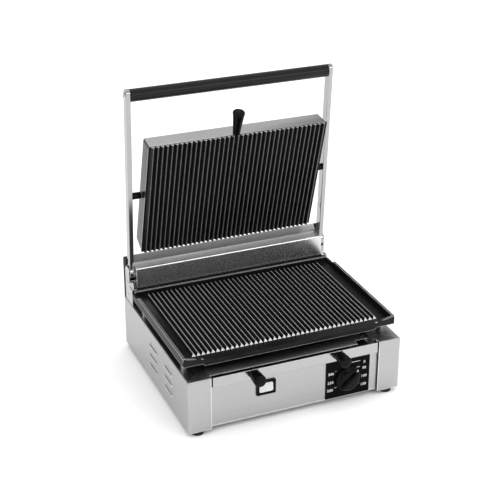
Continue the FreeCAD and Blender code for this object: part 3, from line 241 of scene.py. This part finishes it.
def heated_steel(name):
    """Element sheath, browned and blued by heat."""
    finish = Finish(name, Metallic=1.0)
    tint = finish.noise((55, 55, 55), detail=3.0)
    scale = finish.noise((900, 900, 900), detail=4.0)
    finish.colour(tint, (0.16, 0.11, 0.08), (0.24, 0.23, 0.26))
    finish.roughness(scale, 0.42, 0.6)
    finish.surface(scale, 0.2, 0.08 * MM)
    return finish.material


def cast_iron(name, pivot, crest_way, crest, end_way, end_reach, crest_bare_and_highlight_tone):
    """Seasoned black casting: sandy skin, oily patches, and bare iron with a painted highlight on rib crests, rib
    ends and rims.

    Crest heights run from the pivot along the crest way, and rib ends lie at the end reach along the end way.
    """
    finish = Finish(name, Specular_IOR_Level=0.20)
    sand = finish.noise((1500, 1500, 1500), detail=4.0, rough=0.65)
    skin = finish.noise((260, 260, 260), detail=3.0)
    seasoning = finish.noise((17, 17, 17), detail=5.0, rough=0.6)
    black = finish.colour(seasoning, grey(0.0025, 0.03), grey(0.007, 0.02))
    height = finish.reach(pivot, crest_way)
    crests = finish.spread(height, 0.0, 1.0, crest - 0.50 * MM, crest - 0.25 * MM)
    level = finish.spread(finish.facing(crest_way), 0.0, 1.0, 0.35, 0.75)
    below = finish.spread(height, 1.0, 0.0, crest + 0.3 * MM, crest + 0.5 * MM)
    crests = finish.combine("MULTIPLY", finish.combine("MULTIPLY", crests, level), below)
    ends = finish.spread(finish.facing(end_way), 0.0, 1.0, 0.985, 0.995)
    beyond = finish.spread(finish.reach(pivot, end_way), 0.0, 1.0, end_reach - 0.2 * MM, end_reach - 0.1 * MM)
    above = finish.spread(height, 0.0, 1.0, crest - 4.9 * MM, crest - 4.7 * MM)
    ends = finish.combine("MULTIPLY", finish.combine("MULTIPLY", ends, beyond), above)
    # bare iron on the upward rib crests, also a painted highlight
    mottle = finish.combine("MULTIPLY", crests, finish.spread(skin, 0.55, 1.0))
    above_ribs = finish.spread(height, 0.0, 1.0, crest + 2.0 * MM, crest + 3.0 * MM)
    under_ribs = finish.spread(height, 1.0, 0.0, crest - 7.0 * MM, crest - 6.0 * MM)
    off_ribs = finish.combine("MAXIMUM", above_ribs, under_ribs)
    # worn rim edges lightened, bare iron that is also a painted highlight
    rim_wear_and_highlight = finish.combine("MULTIPLY", finish.edges(RIM_WEAR_AND_HIGHLIGHT_REACH), off_ribs)
    skinned = finish.layer(rim_wear_and_highlight, black, grey(0.45, 0.01))
    skinned = finish.layer(mottle, skinned, grey(crest_bare_and_highlight_tone, 0.01))
    # rib ends lightened and made metallic: bare iron and a painted highlight
    finish.layer(ends, skinned, grey(0.5, 0.01))
    finish.links.new(finish.spread(ends, 0.0, 0.9, 0.0, 1.0), finish.shader.inputs["Metallic"])
    finish.roughness(finish.combine("ADD", seasoning, sand), 0.28, 0.42)
    relief = finish.combine("ADD", sand, finish.spread(skin, 0.0, 2.0))
    finish.surface(relief, 0.18, 0.10 * MM, 0.8 * MM)
    return finish.material


def glossy_black(name):
    """Moulded bakelite with its deep gloss and fine moulding flow."""
    finish = Finish(name, Coat_Weight=0.12, Coat_Roughness=0.05, Specular_IOR_Level=0.04)
    flow = finish.noise((60, 60, 160), detail=4.0)
    dust = finish.noise((1200, 1200, 1200), detail=2.0)
    finish.colour(flow, grey(0.0015), grey(0.004, 0.03))
    finish.roughness(dust, 0.16, 0.26)
    finish.surface(flow, 0.05, 0.3 * MM, 0.4 * MM)
    return finish.material


def satin_black(name, low=0.006, high=0.012, rough=(0.34, 0.5), grain=1100.0, relief=0.12, gloss=0.3):
    """Black moulded or lacquered surface with a fine even grain."""
    finish = Finish(name, Specular_IOR_Level=gloss)
    spark = finish.noise((grain, grain, grain), detail=3.0)
    mottle = finish.noise((23, 23, 23), detail=5.0, rough=0.6)
    finish.colour(mottle, grey(low), grey(high, 0.01))
    finish.roughness(finish.combine("ADD", spark, mottle), *rough)
    finish.surface(spark, relief, 0.08 * MM, 0.5 * MM)
    return finish.material


def pale_plastic(name, tone, warmth=0.0, coat=0.3):
    """Pale moulded plastic with a soft sheen."""
    finish = Finish(name, Coat_Weight=coat, Coat_Roughness=0.12, Subsurface_Weight=0.04)
    cloud = finish.noise((90, 90, 90), detail=4.0)
    orange_peel = finish.noise((700, 700, 700), detail=2.0)
    finish.colour(cloud, grey(tone * 0.94, warmth), grey(tone * 1.03, warmth))
    finish.roughness(orange_peel, 0.26, 0.36)
    finish.surface(orange_peel, 0.06, 0.06 * MM, 0.4 * MM)
    return finish.material


def sintered_bronze(name):
    """Porous oil-filled bronze."""
    finish = Finish(name, Metallic=1.0)
    pores = finish.noise((2200, 2200, 2200), detail=2.0)
    finish.colour(pores, (0.28, 0.17, 0.08), (0.58, 0.39, 0.20))
    finish.roughness(pores, 0.32, 0.5)
    finish.surface(pores, 0.3, 0.05 * MM)
    return finish.material


def ceramic_wool(name):
    """Matted ceramic fibre board."""
    finish = Finish(name, Roughness=0.95, Sheen_Weight=0.4, Sheen_Roughness=0.6)
    fibres = finish.noise((700, 120, 700), detail=6.0, rough=0.7)
    clumps = finish.noise((80, 80, 80), detail=4.0)
    finish.colour(finish.combine("ADD", fibres, clumps), (0.62, 0.58, 0.50), (0.86, 0.84, 0.79), 0.7, 1.3)
    finish.surface(fibres, 0.8, 0.4 * MM)
    return finish.material


HEAD_TILT = math.radians(73.88)
HEAD_PIVOT = Vector((0, 147.6, 319.8)) * MM
HEAD_BACK = Vector((0, math.sin(HEAD_TILT), math.cos(HEAD_TILT)))
HEAD_UP = Vector((0, -math.cos(HEAD_TILT), math.sin(HEAD_TILT)))
HEAD_CREST = 29.0 * MM            # rib crests in front of the pivot
HEAD_TO_FRONT = 121.7 * MM
PLATE_CREST = 133.5 * MM
# tones of the bare crests with their painted highlight; the upper plate's are darker as painted shade
LOWER_CREST_BARE_AND_HIGHLIGHT = 0.36
UPPER_CREST_BARE_AND_HIGHLIGHT = 0.20
HEAD_SIDE_SHADE_TONE = 0.07              # painted shade on the sides of the head's cover
RIB_FRONT = Vector((0, -118.0, 128.5)) * MM
RIB_BEVEL = Vector((0, -0.8638, 0.5039))   # square to the bevelled front ends of the lower ribs

materials = {
    "stainless_satin": satin_steel("stainless_satin", (ALONG, FINE, FINE)),
    "stainless_polished": polished_steel("stainless_polished"),
    "steel_plated": plated_steel("steel_plated"),
    "steel_dark": heated_steel("steel_dark"),
    "cast_iron": cast_iron("cast_iron", Vector((0, 0, 0)), Vector((0, 0, 1)), PLATE_CREST, RIB_BEVEL,
                           RIB_BEVEL.dot(RIB_FRONT), LOWER_CREST_BARE_AND_HIGHLIGHT),
    "bakelite": glossy_black("bakelite"),
    "grip_black": satin_black("grip_black", 0.003, 0.006, rough=(0.22, 0.34), relief=0.08, gloss=0.25),
    "rubber_black": satin_black("rubber_black", 0.010, 0.018, rough=(0.55, 0.75), grain=500.0, relief=0.3),
    "control_black": satin_black("control_black", 0.0015, 0.003, rough=(0.30, 0.40), gloss=0.04),
    "switch_black": satin_black("switch_black", 0.002, 0.004, rough=(0.22, 0.34), gloss=0.06),
    "rocker_grey": pale_plastic("rocker_grey", 0.66),
    "pointer_white": pale_plastic("pointer_white", 0.85, coat=0.1),
    "bronze": sintered_bronze("bronze"),
    "insulation": ceramic_wool("insulation"),
    "nylon_black": satin_black("nylon_black", 0.010, 0.020, rough=(0.40, 0.55)),
    "terminal_white": pale_plastic("terminal_white", 0.72, 0.03),
}
side_satin = satin_steel("stainless_satin_sides", (FINE, ALONG, FINE))
# head cover, with painted shade on its sides
head_satin = satin_steel("stainless_satin_head", (ALONG, FINE, FINE), side_shade_tone=HEAD_SIDE_SHADE_TONE)
drawer_steel = polished_steel("drawer_polished", tone=0.43, wave=0.12)
# lighter copy of the polished steel: painted light on the hinge housing
housing_steel = polished_steel("housing_polished", tone=0.70, wave=0.05, rough=(0.20, 0.26))
# darker copy of the polished steel: painted shade on the arms and hinge brackets
arm_steel = polished_steel("arm_polished", tone=0.38, wave=0.12)
upper_iron = cast_iron("cast_iron_upper", HEAD_PIVOT, -HEAD_BACK, HEAD_CREST, HEAD_UP, HEAD_TO_FRONT,
                       UPPER_CREST_BARE_AND_HIGHLIGHT)
finish_of_node = {
    "left_side_cover": side_satin, "right_side_cover": side_satin, "upper_cover": head_satin,
    "drawer_fascia": drawer_steel, "hinge_housing": housing_steel, "upper_plate": upper_iron,
    "left_arm": arm_steel, "right_arm": arm_steel,
    "left_hinge_bracket": arm_steel, "right_hinge_bracket": arm_steel,
}


FRAME_SHARP = math.radians(30)    # edges sharper than this stay sharp in the CAD nodes
PIECE_SHARP = math.radians(34)    # and in the detailed pieces


def finish_frame():
    """Give every CAD node its material, and smooth its curved faces."""
    for part in frame["record"]["subparts"]:
        node = frame["nodes"][part["node"]]
        slot = part["material_slot"]
        node.data.materials.clear()
        node.data.materials.append(finish_of_node.get(part["node"], materials[slot]))
        node.data.shade_smooth()
        node.data.set_sharp_from_angle(angle=FRAME_SHARP)


# ---------------------------------------------------------------- piece building
def along(start, direction):
    """Matrix that puts the origin at the start point and +Z along the direction."""
    return Matrix.Translation(start) @ direction.to_track_quat("Z", "Y").to_matrix().to_4x4()


def piece(name, shape, slot, body, *stands_for):
    """Finish a mesh under construction as one piece that rides on a body."""
    bmesh.ops.recalc_face_normals(shape, faces=shape.faces)
    mesh = bpy.data.meshes.new(name)
    shape.to_mesh(mesh)
    shape.free()
    mesh.shade_smooth()
    mesh.set_sharp_from_angle(angle=PIECE_SHARP)
    mesh.materials.append(materials[slot])
    made = bpy.data.objects.new(name, mesh)
    bpy.context.scene.collection.objects.link(made)
    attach(made, body)
    if stands_for:
        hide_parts(*stands_for)


def add_rings(shape, rings, place):
    """Add a closed skin through rings of equal point counts, flat at both ends."""
    loops = [[shape.verts.new(place @ Vector(point)) for point in ring] for ring in rings]
    for low, high in zip(loops, loops[1:]):
        for index in range(len(low)):
            following = (index + 1) % len(low)
            shape.faces.new((low[index], low[following], high[following], high[index]))
    shape.faces.new(loops[0][::-1])
    shape.faces.new(loops[-1])


def add_open_rings(shape, rings, place):
    """Add a skin through rings that closes on itself, as round a bore."""
    loops = [[shape.verts.new(place @ Vector(point)) for point in ring] for ring in rings]
    for low, high in zip(loops, loops[1:] + loops[:1]):
        for index in range(len(low)):
            following = (index + 1) % len(low)
            shape.faces.new((low[index], low[following], high[following], high[index]))


def circle(radius, height, count=64):
    """Round ring."""
    turns = [2 * math.pi * index / count for index in range(count)]
    return [(radius * math.cos(turn), radius * math.sin(turn), height) for turn in turns]


def polar_ring(reach, height, count=96):
    """Ring whose radius is a function of the angle."""
    turns = [2 * math.pi * index / count for index in range(count)]
    return [(reach(turn) * math.cos(turn), reach(turn) * math.sin(turn), height) for turn in turns]


def rounded_rectangle(half_width, half_height, corner, height, steps=6):
    """Rectangular ring with round corners."""
    ring = []
    for quarter in range(4):
        across = 1 if quarter in (0, 3) else -1
        up = 1 if quarter < 2 else -1
        for step in range(steps + 1):
            turn = math.radians(90) * (quarter + step / steps)
            ring.append((across * (half_width - corner) + corner * math.cos(turn),
                         up * (half_height - corner) + corner * math.sin(turn), height))
    return ring


def turned(profile, count=64):
    """Rings of a lathe-turned piece from (height, radius) pairs."""
    return [circle(radius, height, count) for height, radius in profile]


KNOB_RIM = 0.26                   # radius of a knob's rounded rim, as a share of its tip's radius
KNOB_CROWN = 0.30                 # height of the rim and crown together, likewise


def knob_profile(length, base, tip, flare):
    """Side of a flared knob with a rounded rim and a gently domed end."""
    rim = KNOB_RIM * tip
    side_length = length - KNOB_CROWN * tip
    profile = []
    for step in range(13):
        share = step / 12
        profile.append((side_length * share, base + (tip - base) * share ** flare))
    for step in range(1, 9):
        turn = math.radians(90) * step / 8
        profile.append((side_length + rim * 0.8 * math.sin(turn), tip - rim + rim * math.cos(turn)))
    crown = profile[-1][0]
    for step in range(1, 7):
        share = step / 6
        radius = (tip - rim) * math.cos(math.radians(90) * share)
        rise = (length - crown) * math.sin(math.radians(90) * share)
        profile.append((crown + rise, max(radius, SHARP)))
    return profile


def islands(node):
    """Lowest and highest corners of each separate solid in a CAD node."""
    shape = bmesh.new()
    shape.from_mesh(frame["nodes"][node].data)
    bmesh.ops.remove_doubles(shape, verts=shape.verts, dist=1e-6)
    unseen = set(shape.verts)
    boxes = []
    while unseen:
        front = [unseen.pop()]
        points = []
        while front:
            vertex = front.pop()
            points.append(vertex.co.copy())
            for edge in vertex.link_edges:
                other = edge.other_vert(vertex)
                if other in unseen:
                    unseen.remove(other)
                    front.append(other)
        low = Vector([min(point[axis] for point in points) for axis in range(3)])
        high = Vector([max(point[axis] for point in points) for axis in range(3)])
        boxes.append((low, high))
    shape.free()
    return sorted(boxes, key=lambda box: (round(box[0].x, 4), round(box[0].z, 4)))


# ---------------------------------------------------------------- knobs
DRAWER_KNOB = (8.4 * MM, 11.0 * MM, 0.35)   # neck radius, tip radius, flare
HEAD_KNOB = (6.6 * MM, 11.0 * MM, 1.25)
HEAD_KNOB_LENGTH = 48.0 * MM
HEAD_KNOB_SHORT = 0.6 * MM        # its crown stays this far inside the length


def drawer_knobs():
    """Two flared knobs on the drawer's fascia."""
    for side, (low, high) in zip(("left", "right"), islands("drawer_knobs")):
        centre = (low + high) / 2
        shape = bmesh.new()
        profile = knob_profile(high.y - low.y, *DRAWER_KNOB)
        add_rings(shape, turned(profile), along(Vector((centre.x, high.y, centre.z)), FORWARD))
        piece("drawer_knob_" + side, shape, "bakelite", "drawer", "drawer_knobs")


def head_knob():
    """Long flared knob on the head's front edge."""
    low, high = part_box("front_knob")
    start = (low + high) / 2 - HEAD_UP * (HEAD_KNOB_LENGTH / 2)
    shape = bmesh.new()
    profile = knob_profile(HEAD_KNOB_LENGTH - HEAD_KNOB_SHORT, *HEAD_KNOB)
    add_rings(shape, turned(profile), along(start, HEAD_UP))
    piece("head_knob", shape, "bakelite", "head", "front_knob")


# ---------------------------------------------------------------- thermostat dial and its scale
DIAL_SKIRT = [                    # height off the plate and step in from the dial's radius, in mm
    (0.0, 0.4), (0.4, 0.0), (2.6, 0.0), (3.1, 0.2), (4.6, 1.2),
    (5.2, 2.4), (5.9, 4.8), (7.0, 5.8), (8.6, 6.3), (9.0, 6.9),
]
WING_HALF_WIDTH = 5.5 * MM
WING_HALF_LENGTH = 20.0 * MM
WING_CORNER = 5.0 * MM
WING_LAYERS = [(4.0, 0.0), (11.0, 0.25), (13.2, 0.5), (14.1, 0.95), (14.7, 1.7), (15.0, 2.7)]


def dial_turn():
    """Angle of the pointer from upright, clockwise from the front."""
    dial_low, dial_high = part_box("thermostat_dial")
    low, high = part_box("dial_pointer")
    offset = (low + high) / 2 - (dial_low + dial_high) / 2
    return math.atan2(offset.x, offset.z)


def dial():
    """Skirted knob with a rounded wing grip, turned to where the pointer is."""
    low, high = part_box("thermostat_dial")
    back = high.y
    axis = Vector(((low.x + high.x) / 2, back, (low.z + high.z) / 2))
    radius = (high.x - low.x) / 2
    height = back - low.y
    shape = bmesh.new()
    place = along(axis, FORWARD)
    skirt = [(rise * MM, radius - inset * MM) for rise, inset in DIAL_SKIRT]
    add_rings(shape, turned(skirt, 96), place)
    turned_wing = place @ Matrix.Rotation(-dial_turn(), 4, "Z")
    rings = []
    for depth, inset in WING_LAYERS:
        shrink = inset * MM
        rings.append(rounded_rectangle(WING_HALF_WIDTH - shrink, WING_HALF_LENGTH - shrink,
                                       WING_CORNER - shrink, min(depth * MM, height), 8))
    add_rings(shape, rings, turned_wing)
    piece("dial_knob", shape, "bakelite", "dial", "thermostat_dial")


SCALE_MARKS = [                   # number, place beside the dial (mm right, mm up), where its line starts
    ("0", 32.0, 26.5, 4.0), ("50", 32.0, 14.5, 17.0), ("100", 32.0, -2.0, 26.0), ("150", 31.5, -19.0, 20.0),
    ("200", -34.0, -18.0, -21.0), ("250", -33.5, -2.5, -27.0), ("300", -33.0, 15.0, -23.0),
]
NUMBER_SIZE = 6.9 * MM
NUMBER_SPACING = 1.12
NUMBER_RELIEF = 0.06 * MM
NUMBER_BOLDNESS = 0.12 * MM
LINE_GAP = 8.5                    # between a number's middle and the end of its line, in mm
LINE_RISE = 3.6                   # of the line over the number's middle, in mm
LINE_THICKNESS = 0.9 * MM
LINE_PROUD = 0.06 * MM
LINE_SUNK = 0.02 * MM


def dial_scale():
    """White numbers and lines on the black plate round the dial."""
    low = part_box("control_plate")[0]
    dial_low, dial_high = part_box("thermostat_dial")
    centre_x = (dial_low.x + dial_high.x) / 2
    centre_z = (dial_low.z + dial_high.z) / 2
    facing = Matrix.Rotation(math.radians(90), 4, "X")
    shape = bmesh.new()
    for number, right, up, line_start in SCALE_MARKS:
        text = bpy.data.curves.new("mark_" + number, "FONT")
        text.body = number
        text.size = NUMBER_SIZE
        text.space_character = NUMBER_SPACING
        text.extrude = NUMBER_RELIEF
        text.offset = NUMBER_BOLDNESS
        text.align_x = "CENTER"
        text.align_y = "CENTER"
        text.resolution_u = 3
        glyphs = bpy.data.objects.new("mark_" + number, text)
        mesh = bpy.data.meshes.new_from_object(glyphs)
        bpy.data.objects.remove(glyphs)
        mesh.transform(Matrix.Translation((centre_x + right * MM, low.y, centre_z + up * MM)) @ facing)
        shape.from_mesh(mesh)
        line_end = right - math.copysign(LINE_GAP, right)
        if abs(line_end) > abs(line_start):
            x0, x1 = sorted((line_start * MM, line_end * MM))
            z = centre_z + (up + LINE_RISE) * MM
            strip = [(centre_x + x, low.y + depth, z + rise)
                     for depth in (-LINE_PROUD, LINE_SUNK)
                     for x, rise in ((x0, 0), (x1, 0), (x1, LINE_THICKNESS), (x0, LINE_THICKNESS))]
            corners = [shape.verts.new(point) for point in strip]
            for face in ((0, 1, 2, 3), (7, 6, 5, 4), (0, 4, 5, 1), (1, 5, 6, 2), (2, 6, 7, 3), (3, 7, 4, 0)):
                shape.faces.new([corners[index] for index in face])
    piece("dial_scale", shape, "pointer_white", "base")


# ---------------------------------------------------------------- switch
ROCKER_TILT = math.radians(6.0)
ROCKER_HALF_WIDTH = 13.0 * MM
ROCKER_HALF_HEIGHT = 8.6 * MM
ROCKER_CORNER = 3.2 * MM
ROCKER_LEAST_CORNER = 0.8 * MM
ROCKER_FACE = 5.6                 # height of the face over the pivot, in mm
ROCKER_LAYERS = [                 # height over the pivot and step in from the outline, in mm
    (-0.6, 2.4), (1.5, 0.55), (ROCKER_FACE - 1.3, 0.0), (ROCKER_FACE - 0.5, 0.25), (ROCKER_FACE - 0.12, 0.8),
    (ROCKER_FACE, 1.5), (ROCKER_FACE - 0.15, 3.0), (ROCKER_FACE - 0.35, 5.0), (ROCKER_FACE - 0.45, 7.4),
]


def joint_place(name):
    """Where the record puts that joint."""
    return Vector(next(joint["pos_m"] for joint in frame["joints"] if joint["name"] == name))


def rocker_cap():
    """Pale rocker with rounded corners and a dished face, tipped with its lower end out."""
    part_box("switch_rocker")       # stops the script if the CAD has no rocker to stand for
    shape = bmesh.new()
    rings = []
    for depth, inset in ROCKER_LAYERS:
        shrink = inset * MM
        corner = max(ROCKER_CORNER - shrink * 0.5, ROCKER_LEAST_CORNER)
        rings.append(rounded_rectangle(ROCKER_HALF_WIDTH - shrink, ROCKER_HALF_HEIGHT - shrink, corner,
                                       depth * MM, 6))
    tipped = Matrix.Translation(joint_place("rocker_tip")) @ Matrix.Rotation(-ROCKER_TILT, 4, "X")
    add_rings(shape, rings, tipped @ Matrix.Rotation(math.radians(90), 4, "X"))
    piece("rocker_cap", shape, "rocker_grey", "rocker", "switch_rocker")


# ---------------------------------------------------------------- screws
HEAD_DOME = [(0.97, 0.0), (1.0, 0.12), (0.98, 0.35), (0.90, 0.66), (0.76, 0.88), (0.62, 1.0)]
RECESS_TAPER = 0.86
RECESS_FLOOR = 0.35               # share of the head's height that is left under the recess
HANDLE_SCREW = (7.0 * MM, 2.0 * MM)         # head radius and height
HANDLE_SOCKET = 2.9 * MM
COVER_SCREW = (4.2 * MM, 1.5 * MM)
COVER_SCREW_SUNK = 1.6 * MM
COVER_RECESS = (0.55 * MM, 2.3 * MM)        # half width and length of the cross's arms
REAR_SCREW = (3.4 * MM, 1.8 * MM)
REAR_RECESS = (0.5 * MM, 1.9 * MM)
REAR_SCREW_INSET = 9 * MM


def hexagon(radius):
    """Reach of a hexagonal socket with this radius across its corners."""
    def reach(turn):
        within = turn % math.radians(60) - math.radians(30)
        return radius * math.cos(math.radians(30)) / math.cos(within)
    return reach


def cross(half_width, length):
    """Reach of a cross recess."""
    def reach(turn):
        run, rise = abs(math.cos(turn)) + 1e-9, abs(math.sin(turn)) + 1e-9
        return max(min(length / run, half_width / rise), min(length / rise, half_width / run))
    return reach


def screw_head(shape, place, radius, height, drive):
    """Low domed head with its recess; the base sits at the origin of the place."""
    rings = [circle(radius * share, height * rise, 96) for share, rise in HEAD_DOME]
    rings.append(polar_ring(drive, height))
    rings.append(polar_ring(lambda turn: drive(turn) * RECESS_TAPER, height * RECESS_FLOOR))
    add_rings(shape, rings, place)


def handle_screws():
    """Button heads with hexagonal sockets at both ends of the handle."""
    shape = bmesh.new()
    for low, high in islands("handle_screws"):
        side = RIGHT if high.x > 0 else LEFT
        outer = high.x if side == RIGHT else low.x
        base = Vector((outer - side * HANDLE_SCREW[1], (low.y + high.y) / 2, (low.z + high.z) / 2))
        screw_head(shape, along(base, Vector((side, 0, 0))), *HANDLE_SCREW, hexagon(HANDLE_SOCKET))
    piece("handle_screw_heads", shape, "steel_plated", "arms", "handle_screws")


def head_screws():
    """Cross-recessed screws on the back of the head's cover."""
    shape = bmesh.new()
    for low, high in islands("head_screws"):
        centre = (low + high) / 2
        half = (high - centre).dot(HEAD_BACK)
        base = centre + HEAD_BACK * (half - COVER_SCREW_SUNK)
        screw_head(shape, along(base, HEAD_BACK), *COVER_SCREW, cross(*COVER_RECESS))
    piece("head_screw_heads", shape, "steel_plated", "head", "head_screws")


def rear_screws():
    """Small screws round the rear panel and along the hinge cover's back."""
    low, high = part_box("rear_panel")
    cover_low, cover_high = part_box("hinge_cover")
    shape = bmesh.new()
    inset = REAR_SCREW_INSET
    places = [(x, z) for x in (low.x + inset, high.x - inset) for z in (low.z + inset, high.z - 2 * inset)]
    places += [(x, cover_low.z + inset) for x in (cover_low.x + 2 * inset, 0.0, cover_high.x - 2 * inset)]
    for x, z in places:
        screw_head(shape, along(Vector((x, high.y, z)), BACKWARD), *REAR_SCREW, cross(*REAR_RECESS))
    piece("rear_screws", shape, "steel_plated", "base")


# ---------------------------------------------------------------- cable gland
GLAND_BORE = 4.5 * MM
GLAND_THREAD = 8.0 * MM           # radius through the panel
GLAND_RIBS = 16
GLAND_RIB_DEPTH = 0.5 * MM
GLAND_COLLAR = 11.0 * MM
GLAND_NUT = 10.8 * MM


def gland():
    """Ribbed dome nut and round collar about the cable's bore."""
    low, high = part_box("cable_gland")
    axis = Vector(((low.x + high.x) / 2, 0, (low.z + high.z) / 2))
    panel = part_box("rear_panel")[1].y
    reach = high.y - panel

    def fluted(radius):
        """Outline with grip ribs."""
        return lambda turn: radius - GLAND_RIB_DEPTH * max(0.0, math.cos(GLAND_RIBS * turn))

    def plain(radius):
        """Round outline."""
        return lambda turn: radius

    shape = bmesh.new()
    layers = [(plain(GLAND_THREAD), low.y - panel), (plain(GLAND_THREAD), 0.0),
              (plain(GLAND_COLLAR), 0.0), (plain(GLAND_COLLAR), 1.6 * MM),
              (fluted(GLAND_NUT), 2.2 * MM), (fluted(GLAND_NUT), 7.6 * MM), (fluted(10.2 * MM), 9.0 * MM),
              (plain(8.6 * MM), reach - 1.2 * MM), (plain(7.4 * MM), reach),
              (plain(GLAND_BORE + 0.6 * MM), reach), (plain(GLAND_BORE), reach - 0.6 * MM),
              (plain(GLAND_BORE), low.y - panel)]
    rings = [polar_ring(reach_at, depth, 128) for reach_at, depth in layers]
    add_open_rings(shape, rings, along(axis + BACKWARD * panel, BACKWARD))
    piece("cable_gland_nut", shape, "nylon_black", "base", "cable_gland")


# ---------------------------------------------------------------- stage
FLOOR_REACH = 40                  # metres each way


def floor():
    """Plain pale studio floor."""
    shape = bmesh.new()
    bmesh.ops.create_grid(shape, x_segments=1, y_segments=1, size=FLOOR_REACH)
    mesh = bpy.data.meshes.new("floor")
    shape.to_mesh(mesh)
    shape.free()
    finish = Finish("floor_paper", Specular_IOR_Level=0.2)
    paper = finish.noise((5, 5, 5), detail=4.0)
    finish.colour(paper, grey(0.86), grey(0.88))
    finish.roughness(paper, 0.75, 0.85)
    mesh.materials.append(finish.material)
    made = bpy.data.objects.new("floor", mesh)
    bpy.context.scene.collection.objects.link(made)


SKY_TONES = [                     # sine of the elevation, brightness of the studio in reflections
    (0.0, 0.42), (0.16, 0.30), (0.45, 0.26), (0.62, 0.62), (0.80, 0.95), (1.0, 1.0),
]


def sky():
    """White backdrop, with a studio round it that is dim low down and bright overhead."""
    world = bpy.data.worlds.new("studio")
    bpy.context.scene.world = world
    world.use_nodes = True
    nodes = world.node_tree.nodes
    links = world.node_tree.links
    coordinates = nodes.new("ShaderNodeTexCoord")
    split = nodes.new("ShaderNodeSeparateXYZ")
    ramp = nodes.new("ShaderNodeValToRGB")
    for index, (position, tone) in enumerate(SKY_TONES):
        element = ramp.color_ramp.elements[index] if index < 2 else ramp.color_ramp.elements.new(position)
        element.position = position
        element.color = (tone, tone, tone, 1)
    backdrop = nodes.new("ShaderNodeBackground")
    rays = nodes.new("ShaderNodeLightPath")
    choice = nodes.new("ShaderNodeMixShader")
    links.new(coordinates.outputs["Generated"], split.inputs["Vector"])
    links.new(split.outputs["Z"], ramp.inputs["Fac"])
    links.new(ramp.outputs["Color"], nodes["Background"].inputs["Color"])
    backdrop.inputs["Color"].default_value = (1, 1, 1, 1)
    links.new(rays.outputs["Is Camera Ray"], choice.inputs["Fac"])
    links.new(nodes["Background"].outputs["Background"], choice.inputs[1])
    links.new(backdrop.outputs["Background"], choice.inputs[2])
    links.new(choice.outputs["Shader"], nodes["World Output"].inputs["Surface"])


SOFTBOXES = [                     # name, place, width, height, watts
    ("front", (0.95, -2.1, 1.45), 1.3, 0.9, 14),
    ("left", (-2.2, -0.5, 1.2), 1.0, 1.2, 10),
    ("right", (2.1, -0.2, 1.1), 1.0, 1.3, 12),
    ("back", (0.4, 2.0, 2.3), 1.8, 0.6, 4),
]
LIGHT_AIM = Vector((0, 0, 0.2))
OVERHEAD_STRENGTH = 2.0
OVERHEAD_SPREAD = math.radians(110)


def lights():
    """Large soft lights aimed at the grill, and a broad overhead light for the floor."""
    for name, place, width, height, watts in SOFTBOXES:
        lamp = bpy.data.lights.new(name, "AREA")
        lamp.shape = "RECTANGLE"
        lamp.size = width
        lamp.size_y = height
        lamp.energy = watts
        holder = bpy.data.objects.new(name, lamp)
        holder.location = place
        holder.rotation_euler = (LIGHT_AIM - Vector(place)).to_track_quat("-Z", "Y").to_euler()
        bpy.context.scene.collection.objects.link(holder)
    lamp = bpy.data.lights.new("overhead", "SUN")
    lamp.energy = OVERHEAD_STRENGTH
    lamp.angle = OVERHEAD_SPREAD
    holder = bpy.data.objects.new("overhead", lamp)
    holder.visible_glossy = False
    bpy.context.scene.collection.objects.link(holder)


CAMERA_TARGET = Vector((-0.0139, 0.008, 0.2411))
CAMERA_SHIFT = (-0.0023, 0.0022)  # in frame widths
CAMERA_AZIMUTH = math.radians(-23.017)
CAMERA_ELEVATION = math.radians(25.563)
CAMERA_DISTANCE = 2.2244
CAMERA_ROLL = math.radians(0.152)
CAMERA_LENS = 90.42


def camera():
    """Camera to the front left, looking down on the grill."""
    back = Vector((math.sin(CAMERA_AZIMUTH) * math.cos(CAMERA_ELEVATION),
                   -math.cos(CAMERA_AZIMUTH) * math.cos(CAMERA_ELEVATION), math.sin(CAMERA_ELEVATION)))
    lens = bpy.data.cameras.new("camera")
    lens.lens = CAMERA_LENS
    lens.sensor_width = 36
    lens.shift_x, lens.shift_y = CAMERA_SHIFT
    holder = bpy.data.objects.new("camera", lens)
    holder.location = CAMERA_TARGET + back * CAMERA_DISTANCE
    turn = (-back).to_track_quat("-Z", "Y").to_matrix() @ Matrix.Rotation(CAMERA_ROLL, 3, "Z")
    holder.rotation_euler = turn.to_euler()
    bpy.context.scene.collection.objects.link(holder)
    bpy.context.scene.camera = holder


# ---------------------------------------------------------------- the scene
bpy.context.scene.view_settings.view_transform = "Standard"
finish_frame()
drawer_knobs()
head_knob()
dial()
dial_scale()
rocker_cap()
handle_screws()
head_screws()
rear_screws()
gland()
floor()
sky()
lights()
camera()
